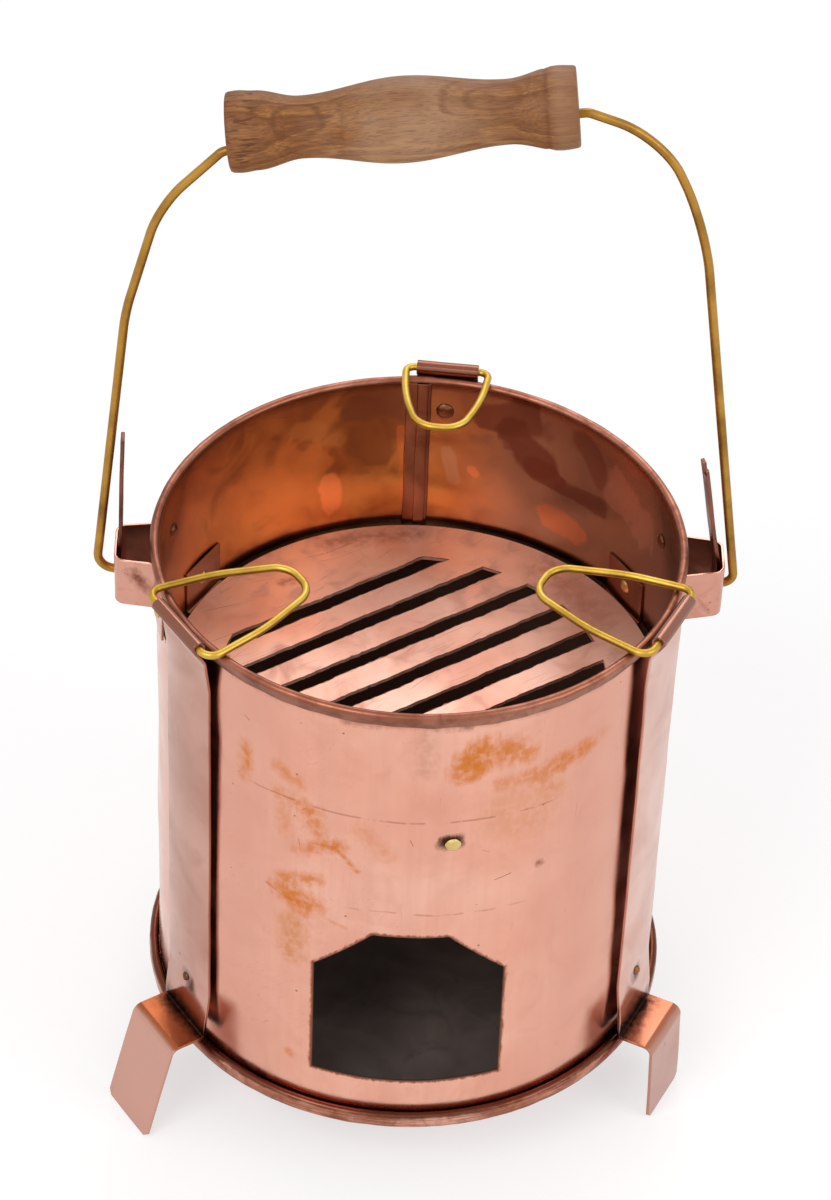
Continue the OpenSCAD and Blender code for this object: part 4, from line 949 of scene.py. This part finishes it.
def buildBurrs(slotEdges):
    # the chisel throws up a thin bright burr along each slot
    bm = bmesh.new()
    top = (grate["z"] + grate["thickness"]) * mm
    for a, b in slotEdges:
        rises = [max(0, wobble(p, burr["span"], burr["rise"])) + burr["least"] * mm for p in (b, a)]
        corners = zip((a, b, b, a), [-burr["sunk"] * mm] * 2 + rises)
        bm.faces.new([bm.verts.new((p.x, p.y, top + lift)) for p, lift in corners])
    bmesh.ops.remove_doubles(bm, verts=bm.verts, dist=0.001 * mm)
    piece = finishPiece("grateBurrs", bm, "grate", [burrCopper], (), 60)
    addThickness(piece, burr["thickness"], even=False)


buildBurrs(buildGrate())
print("grate made")


# angle brackets under the grate: an upright flange on the wall and a ledge
bracket = dict(places=dict(left=-121, right=121, front=8.5), width=24, seat=173.35, rise=19, reach=14,
               thickness=1.0, radius=99.1, offWall=0.45, bend=1.2, dents=0.3)
for side, azimuth in bracket["places"].items():
    middle = bracket["radius"] - bracket["thickness"] / 2 - bracket["offWall"]
    ledge = bracket["seat"] - bracket["thickness"] / 2
    path = roundedPath([(middle, 0, bracket["seat"] + bracket["rise"]), (middle, 0, ledge),
                        (bracket["radius"] - bracket["reach"], 0, ledge)], [bracket["bend"]], 4)
    stripPiece("grateBracket" + side.title(), path, bracket["width"], bracket["thickness"], [seamCopper],
               ("grate_bracket_" + side,), turned(azimuth), step=3, dents=bracket["dents"])
print("brackets made")


# legs: strap, knuckle and foot in one strip, with a hollow round the lower rivet
leg = dict(thickness=1.3, inner=102.6, knuckleZ=248.75, knuckleTurn=2.2, shelf=38.5, shelfReach=16,
           hemBend=6, shelfBend=1.3, footBend=3.65, clip=2.0, rivetUp=65, hem=240, offGround=0.12, dents=0.35,
           dintRadius=4.4, dintDepth=0.9, cupFrom=48, cupTo=238)
legs = dict(left=dict(azimuth=-57.5, width=30, splay=16, up=4.3, knuckleAt=106.2, cupLow=1.9, cupHigh=1.7,
                      finish=strapLeftCopper),
            right=dict(azimuth=63.3, width=28, splay=1, up=0, knuckleAt=106.2, cupLow=1.9, cupHigh=0.3,
                       finish=strapRightCopper),
            back=dict(azimuth=173.8, width=24.5, splay=6, up=0, knuckleAt=104.6, cupLow=0.9, cupHigh=0.9,
                      finish=strapBackCopper))


def knuckleRoll(at):
    # the strap's end rolled back over the pot rest's wire
    turns = [math.radians(a) for a in range(296, -1, -12)]
    return [(at + leg["knuckleTurn"] * math.cos(a), 0, leg["knuckleZ"] + leg["knuckleTurn"] * math.sin(a))
            for a in turns]


for side, own in legs.items():
    middle = leg["inner"] + leg["thickness"] / 2
    shelf = leg["shelf"] + own["up"] + leg["thickness"] / 2
    tab = leg["inner"] + leg["shelfReach"] - leg["thickness"] / 2
    splay = math.radians(own["splay"])
    low = leg["thickness"] / 2 * math.sin(splay) + leg["offGround"]
    corners = [(own["knuckleAt"] + leg["knuckleTurn"], 0, leg["knuckleZ"]), (middle, 0, leg["hem"]),
               (middle, 0, shelf), (tab, 0, shelf), (tab + (shelf - low) * math.tan(splay), 0, low)]
    bends = [leg["hemBend"], leg["shelfBend"], leg["footBend"]]
    path = scaled(knuckleRoll(own["knuckleAt"]))[:-1] + roundedPath(corners, bends, 8)
    dint = dict(centre=(middle, 0, leg["rivetUp"]), radius=leg["dintRadius"], depth=leg["dintDepth"])
    cup = dict(low=leg["cupFrom"], high=leg["cupTo"], depthLow=own["cupLow"], depthHigh=own["cupHigh"])
    stripPiece("leg" + side.title(), path, own["width"], leg["thickness"], [own["finish"]],
               ("leg_" + side,), turned(own["azimuth"]), dents=leg["dents"], rows=12, step=2.6,
               clipped=leg["clip"], dint=dint, cup=cup)
print("legs made")


# pot rests: brass wire loops that turn in the knuckles
rest = dict(wire=3.0, bow=2.6, nose=8.5, noseBend=9.5, sideBend=60, uneven=0.02)
rests = dict(left=dict(reach=53.5, bend=5, spare=1.6, slid=-1.1),
             right=dict(reach=53.5, bend=5, spare=1.6, slid=-1.1),
             back=dict(reach=37.5, bend=3.5, spare=0, slid=0))
for side, own in rests.items():
    root = legs[side]["width"] / 2 + 1.25 * own["bend"] + own["spare"]
    arm = (root + rest["nose"]) / 2 + rest["bow"]
    corners = [(0, -root, 0), (0, root, 0), (-own["reach"] / 2, arm, 0), (-own["reach"], rest["nose"], 0),
               (-own["reach"], -rest["nose"], 0), (-own["reach"] / 2, -arm, 0)]
    bends = [own["bend"], own["bend"], rest["sideBend"], rest["noseBend"], rest["noseBend"], rest["sideBend"]]
    path = roundedPath(corners, bends, 10, True)
    move = turned(legs[side]["azimuth"]) @ shifted(legs[side]["knuckleAt"], own["slid"], leg["knuckleZ"])
    bm = bmesh.new()
    wire = [move @ p for p in resampled(path, 2.5, True)]
    addTube(bm, wire, rest["wire"], closed=True, uneven=rest["uneven"])
    finishPiece("potRest" + side.title(), bm, "rest_" + side, [restBrass], ("pot_rest_" + side,), 60)
print("pot rests made")


# lugs: strips bent into a U, with their ends on the wall
pivot = dict(z=225, back=4.5)
lug = dict(height=21.5, up=2.2, thickness=1.0, rootWidth=25, bend=4, flange=20, flangeRadius=100.55,
           dents=0.3)
lugs = dict(left=dict(reach=16.3, width=21.5, way=-1), right=dict(reach=17, width=19, way=1))


def lugPath(own):
    def on(angle):
        return lug["flangeRadius"] * math.cos(angle), lug["flangeRadius"] * math.sin(angle), 0

    def flange(start, end, steps):
        return scaled([on(start + (end - start) * i / 8) for i in steps])

    out = drum["radius"] + own["reach"] - lug["thickness"] / 2
    roots = [math.asin((pivot["back"] + s * lug["rootWidth"] / 2) / lug["flangeRadius"]) for s in (-1, 1)]
    beyond = lug["flange"] / lug["flangeRadius"]
    half = own["width"] / 2 - lug["thickness"] / 2
    corners = [on(roots[0]), (out, pivot["back"] - half, 0), (out, pivot["back"] + half, 0), on(roots[1])]
    loop = roundedPath(corners, [lug["bend"], lug["bend"]], 10)
    before = flange(roots[0] - beyond, roots[0], range(8))
    after = flange(roots[1], roots[1] + beyond, range(1, 9))
    return [Vector((p.x * own["way"], p.y, p.z)) for p in before + loop + after]


for side, own in lugs.items():
    stripPiece("lug" + side.title(), lugPath(own), lug["height"], lug["thickness"], [lugCopper, lugShadeCopper],
               ("lug_" + side,), shifted(0, 0, pivot["z"] + lug["up"]), across=(0, 0, 1), step=3,
               dents=lug["dents"], hollow=lambda place: Vector((place.x, place.y, 0)))

# stays: flat upright bars inside the lugs; the near half of the right one was nipped off a little lower
stay = dict(width=6, thickness=1.5, low=218.45, bend=234.95, bendRadius=12, play=0.3, dents=0.25,
            nipDepth=1.5, nipFrom=0.4, nipFade=1.0)
stays = dict(left=dict(top=289.5, lean=1.5, turn=0, notch=0), right=dict(top=285, lean=9.5, turn=14, notch=3))
for side, own in stays.items():
    way = lugs[side]["way"]
    turn = math.radians(own["turn"])
    lean = (own["top"] - stay["bend"]) * math.tan(math.radians(own["lean"]))
    path = roundedPath([(0, 0, stay["low"]), (0, 0, stay["bend"]), (-way * lean, 0, own["top"])],
                       [stay["bendRadius"]], 6)
    gap = (stay["thickness"] * math.cos(turn) + stay["width"] * math.sin(turn)) / 2 + stay["play"]
    wallAt = (drum["radius"] + lugs[side]["reach"] - lug["thickness"]) * way
    move = shifted(wallAt - way * gap, pivot["back"], 0) @ Matrix.Rotation(turn * way, 4, 'Z')
    piece = stripPiece("handleStay" + side.title(), path, stay["width"], stay["thickness"], [stayShadeCopper],
                       ("handle_stay_" + side,), move, rows=4, step=3, dents=stay["dents"],
                       edge=0.3)
    for v in piece.data.vertices:
        local = move.inverted() @ v.co
        if local.y < -stay["nipFrom"] * mm and local.z > (own["top"] - stay["nipDepth"]) * mm:
            v.co.z -= own["notch"] * mm * min(1, (-stay["nipFrom"] * mm - local.y) / (stay["nipFade"] * mm))

# bail: one wire bent by hand, its ends hammered over into flat heads inside the stays
bail = dict(wire=3.48, height=205.5, middle=-11, tilt=9, corner=65.7, legX=121.75, leftOut=1.8, uneven=0.015,
            heads=(-113.2, 112.5), cutBack=0.6, head=6.0, headRise=1.2,
            bends=[6.95, 90, 50, 5, 5, 42, 135, 4.45])


def bailCorners():
    tilt, height = math.radians(bail["tilt"]), bail["height"]
    leftX, rightX = bail["legX"] + bail["leftOut"], bail["legX"]
    across, up = bail["corner"] * math.cos(tilt), bail["corner"] * math.sin(tilt)
    ends = [(bail["middle"] + s * across, height + s * up) for s in (-1, 1)]
    flat = [(-112.5 + bail["cutBack"], 0), (-leftX, 0), (-leftX + 12.3, height - 83),
            (-leftX + 24.9, height - 35), ends[0], ends[1], (rightX - 40.7, height + 0.2),
            (rightX - 22.7, height - 38), (rightX, 0), (112.2 - bail["cutBack"], 0)]
    return [(x, pivot["back"], pivot["z"] + z) for x, z in flat]


bm = bmesh.new()
path = resampled(roundedPath(bailCorners(), bail["bends"], 12), 3)
addTube(bm, path, bail["wire"], sides=24, uneven=bail["uneven"])
for x, way in zip(bail["heads"], (1, -1)):
    move = shifted(x, pivot["back"], pivot["z"]) @ Matrix.Rotation(math.radians(90 * way), 4, 'Y')
    addDome(bm, move, bail["head"], bail["headRise"], uneven=0.06)
finishPiece("bailWire", bm, "bail", [bailBrass], ("bail_wire",), 50)
print("lugs, stays and bail made")


# grip: turned between centres, bored askew; levels are how far along it is how thick
grip = dict(length=125, steps=110, centre=(-11, 4.5, 430.5), tilt=9, dropLeft=7.7, dropRight=3.0,
            levels=[(0, 28.8), (0.035, 29.4), (0.08, 28.4), (0.21, 22.4), (0.5, 31.0), (0.80, 23.3),
                    (0.95, 30.2), (1, 29.4)],
            groove=0.912, grooveDepth=0.35, grooveHalf=0.9, knockedSpan=6, knocked=0.012, knockedFrom=3)


def gripRadius(place):
    fromGroove = (place - grip["groove"]) * grip["length"] / grip["grooveHalf"]
    groove = grip["grooveDepth"] * math.exp(-fromGroove ** 2)
    for (a, wide), (b, nextWide) in zip(grip["levels"], grip["levels"][1:]):
        if place <= b:
            eased = (1 - math.cos(math.pi * (place - a) / (b - a))) / 2
            return (wide + (nextWide - wide) * eased) / 2 - groove


def buildGrip():
    bm = bmesh.new()
    half, steps = grip["length"] / 2, grip["steps"]
    profile = [(0.01, -half), (gripRadius(0) - 0.9, -half), (gripRadius(0) - 0.3, -half + 0.25)]
    profile += [(gripRadius(i / steps), -half + grip["length"] * i / steps) for i in range(1, steps)]
    profile += [(gripRadius(1) - 0.3, half - 0.25), (gripRadius(1) - 0.9, half), (0.01, half)]
    line = [bm.verts.new(Vector((x, 0, radius)) * mm) for radius, x in profile]
    edges = [bm.edges.new(pair) for pair in zip(line, line[1:])]
    bmesh.ops.spin(bm, geom=line + edges, cent=(0, 0, 0), axis=(1, 0, 0), angle=math.tau, steps=112,
                   use_merge=True)
    bmesh.ops.remove_doubles(bm, verts=bm.verts, dist=tiny * mm)
    bmesh.ops.recalc_face_normals(bm, faces=bm.faces)
    for v in bm.verts:
        # the ends were sawn and knocked, so their edges wander a little
        nearEnd = max(0, (abs(v.co.x) - (half - grip["knockedFrom"]) * mm) / (grip["knockedFrom"] * mm))
        knock = grip["knocked"] * noise.noise(v.co / (grip["knockedSpan"] * mm))
        v.co += Vector((0, v.co.y, v.co.z)) * (knock * nearEnd)
    skew = math.asin((grip["dropLeft"] - grip["dropRight"]) / grip["length"])
    seat = shifted(*grip["centre"]) @ Matrix.Rotation(math.radians(-grip["tilt"]), 4, 'Y')
    seat = seat @ shifted(0, 0, (grip["dropLeft"] + grip["dropRight"]) / 2) @ Matrix.Rotation(skew, 4, 'Y')
    bmesh.ops.transform(bm, matrix=seat, verts=bm.verts)
    finishPiece("grip", bm, "grip", [gripWood], ("grip",), 50)


buildGrip()
print("grip made")


# rivets: azimuth, height, inner and outer end, and the size of the head at each end
rivet = dict(shank=1.5, rise=1.3, strapUp=232, lugUp=pivot["z"], inner=98.9)


def rivetSet(name, rows, replaced, innerFinish=1, outerFinish=0):
    bm = bmesh.new()
    for azimuth, height, inner, outer, innerHead, outerHead in rows:
        addBar(bm, outward(azimuth, inner, height), rivet["shank"], outer - inner)
        ends = ((innerHead, inner, True, innerFinish), (outerHead, outer, False, outerFinish))
        for head, at, inwards, finish in ends:
            if head:
                before = set(bm.faces)
                addDome(bm, outward(azimuth, at, height, inwards), head, rivet["rise"])
                for face in set(bm.faces) - before:
                    face.material_index = finish
    finishPiece(name, bm, "brazier", [rivetBrass, brownedBrass], replaced, 50)


def lugRivetAzimuth(side, back):
    root = math.degrees(math.asin((pivot["back"] + back * lug["rootWidth"] / 2) / lug["flangeRadius"]))
    return side * (90 + root + back * math.degrees(0.6 * lug["flange"] / lug["flangeRadius"]))


rivetSet("strapRivetsUpper", [(own["azimuth"], rivet["strapUp"], rivet["inner"], 103.4, 7.0, 0)
                              for own in legs.values()], ("strap_rivets_upper",))
rivetSet("strapRivetsLower", [(own["azimuth"], leg["rivetUp"], rivet["inner"], 103.2, 6.0, 4.0)
                              for own in legs.values()], ("strap_rivets_lower",), outerFinish=1)
rivetSet("bracketRivets", [(-121, 183.35, 97.9, 99.9, 6.0, 4.4), (121, 183.35, 97.9, 99.9, 6.0, 4.4),
                           (8.5, 179.85, 97.9, 99.3, 6.0, 6.4)], ("bracket_rivets",), innerFinish=0)
rivetSet("lugRivets", [(lugRivetAzimuth(side, back), rivet["lugUp"], rivet["inner"], 101.1, 6.0, 6.0)
                       for side in (-1, 1) for back in (-1, 1)], ("lug_rivets",))
print("rivets made")


# floor, light and camera
studio = dict(floorSize=6, paper='#F4F3F1', seenPaper='#B4B4B4', paperGlow=0.60, worldLight=0.55,
              aim=Vector((0, 0, 0.2)),
              lamps=[("key softbox", (-1.1, -1.4, 1.9), 1.2, 20), ("fill softbox", (1.5, -0.9, 1.2), 1.0, 9),
                     ("back softbox", (0.2, 1.5, 1.7), 1.0, 8)])
view = dict(lens=200, sensor=36, roll=2.32, place=Vector((-0.03665, -1.3577, 1.3640)),
            aim=Vector((-0.00062, 0.0, 0.2163)))


def seenRays(add):
    # 1 where the camera looks, straight or by a mirror or a glass
    rays = add('LightPath').node.outputs
    return strongest(add, [rays['Is Camera Ray'], rays['Is Glossy Ray'], rays['Is Transmission Ray']])


def buildFloor():
    bm = bmesh.new()
    bmesh.ops.create_grid(bm, x_segments=1, y_segments=1, size=studio["floorSize"])
    mesh = bpy.data.meshes.new("floor")
    bm.to_mesh(mesh)
    bm.free()
    floor = bpy.data.objects.new("floor", mesh)
    bpy.context.scene.collection.objects.link(floor)
    # pale paper: white where the camera or a shiny piece looks at it, and it still takes the shadow
    material, add, where = newMaterial("white paper floor")
    paper = add('BsdfDiffuse', {'Color': studio["paper"]})
    shaded = add('BsdfDiffuse', {'Color': studio["seenPaper"]})
    glow = add('Emission', {'Color': (1, 1, 1, 1), 'Strength': studio["paperGlow"]})
    bright = add('AddShader', {0: shaded, 1: glow})
    add('OutputMaterial', {'Surface': add('MixShader', {0: seenRays(add), 1: paper, 2: bright})})
    mesh.materials.append(material)


def buildLight():
    world = bpy.data.worlds.new("studio")
    bpy.context.scene.world = world
    world.use_nodes = True
    world.node_tree.nodes.clear()
    add = partial(addNode, world.node_tree)
    strength = add('MapRange', {'Value': seenRays(add), 'To Min': studio["worldLight"], 'To Max': 1.0})
    sky = add('Background', {'Color': (1, 1, 1, 1), 'Strength': strength})
    add('OutputWorld', {'Surface': sky})
    for name, place, size, power in studio["lamps"]:
        lamp = bpy.data.lights.new(name, 'AREA')
        lamp.shape = 'SQUARE'
        lamp.size = size
        lamp.energy = power
        holder = bpy.data.objects.new(name, lamp)
        holder.location = place
        holder.rotation_euler = (studio["aim"] - Vector(place)).to_track_quat('-Z', 'Y').to_euler()
        bpy.context.scene.collection.objects.link(holder)


def buildCamera():
    # the photo's angle: 40 degrees above level, from 1.8 m away, with a slight roll
    lens = bpy.data.cameras.new("camera")
    lens.lens = view["lens"]
    lens.sensor_fit = 'HORIZONTAL'
    lens.sensor_width = view["sensor"]
    lens.clip_start = 0.05
    camera = bpy.data.objects.new("camera", lens)
    camera.location = view["place"]
    look = (view["aim"] - view["place"]).to_track_quat('-Z', 'Y').to_matrix()
    camera.rotation_euler = (look @ Matrix.Rotation(math.radians(view["roll"]), 3, 'Z')).to_euler()
    bpy.context.scene.collection.objects.link(camera)
    bpy.context.scene.camera = camera


buildFloor()
buildLight()
buildCamera()
bpy.context.scene.view_settings.view_transform = 'Standard'
print("stage set")
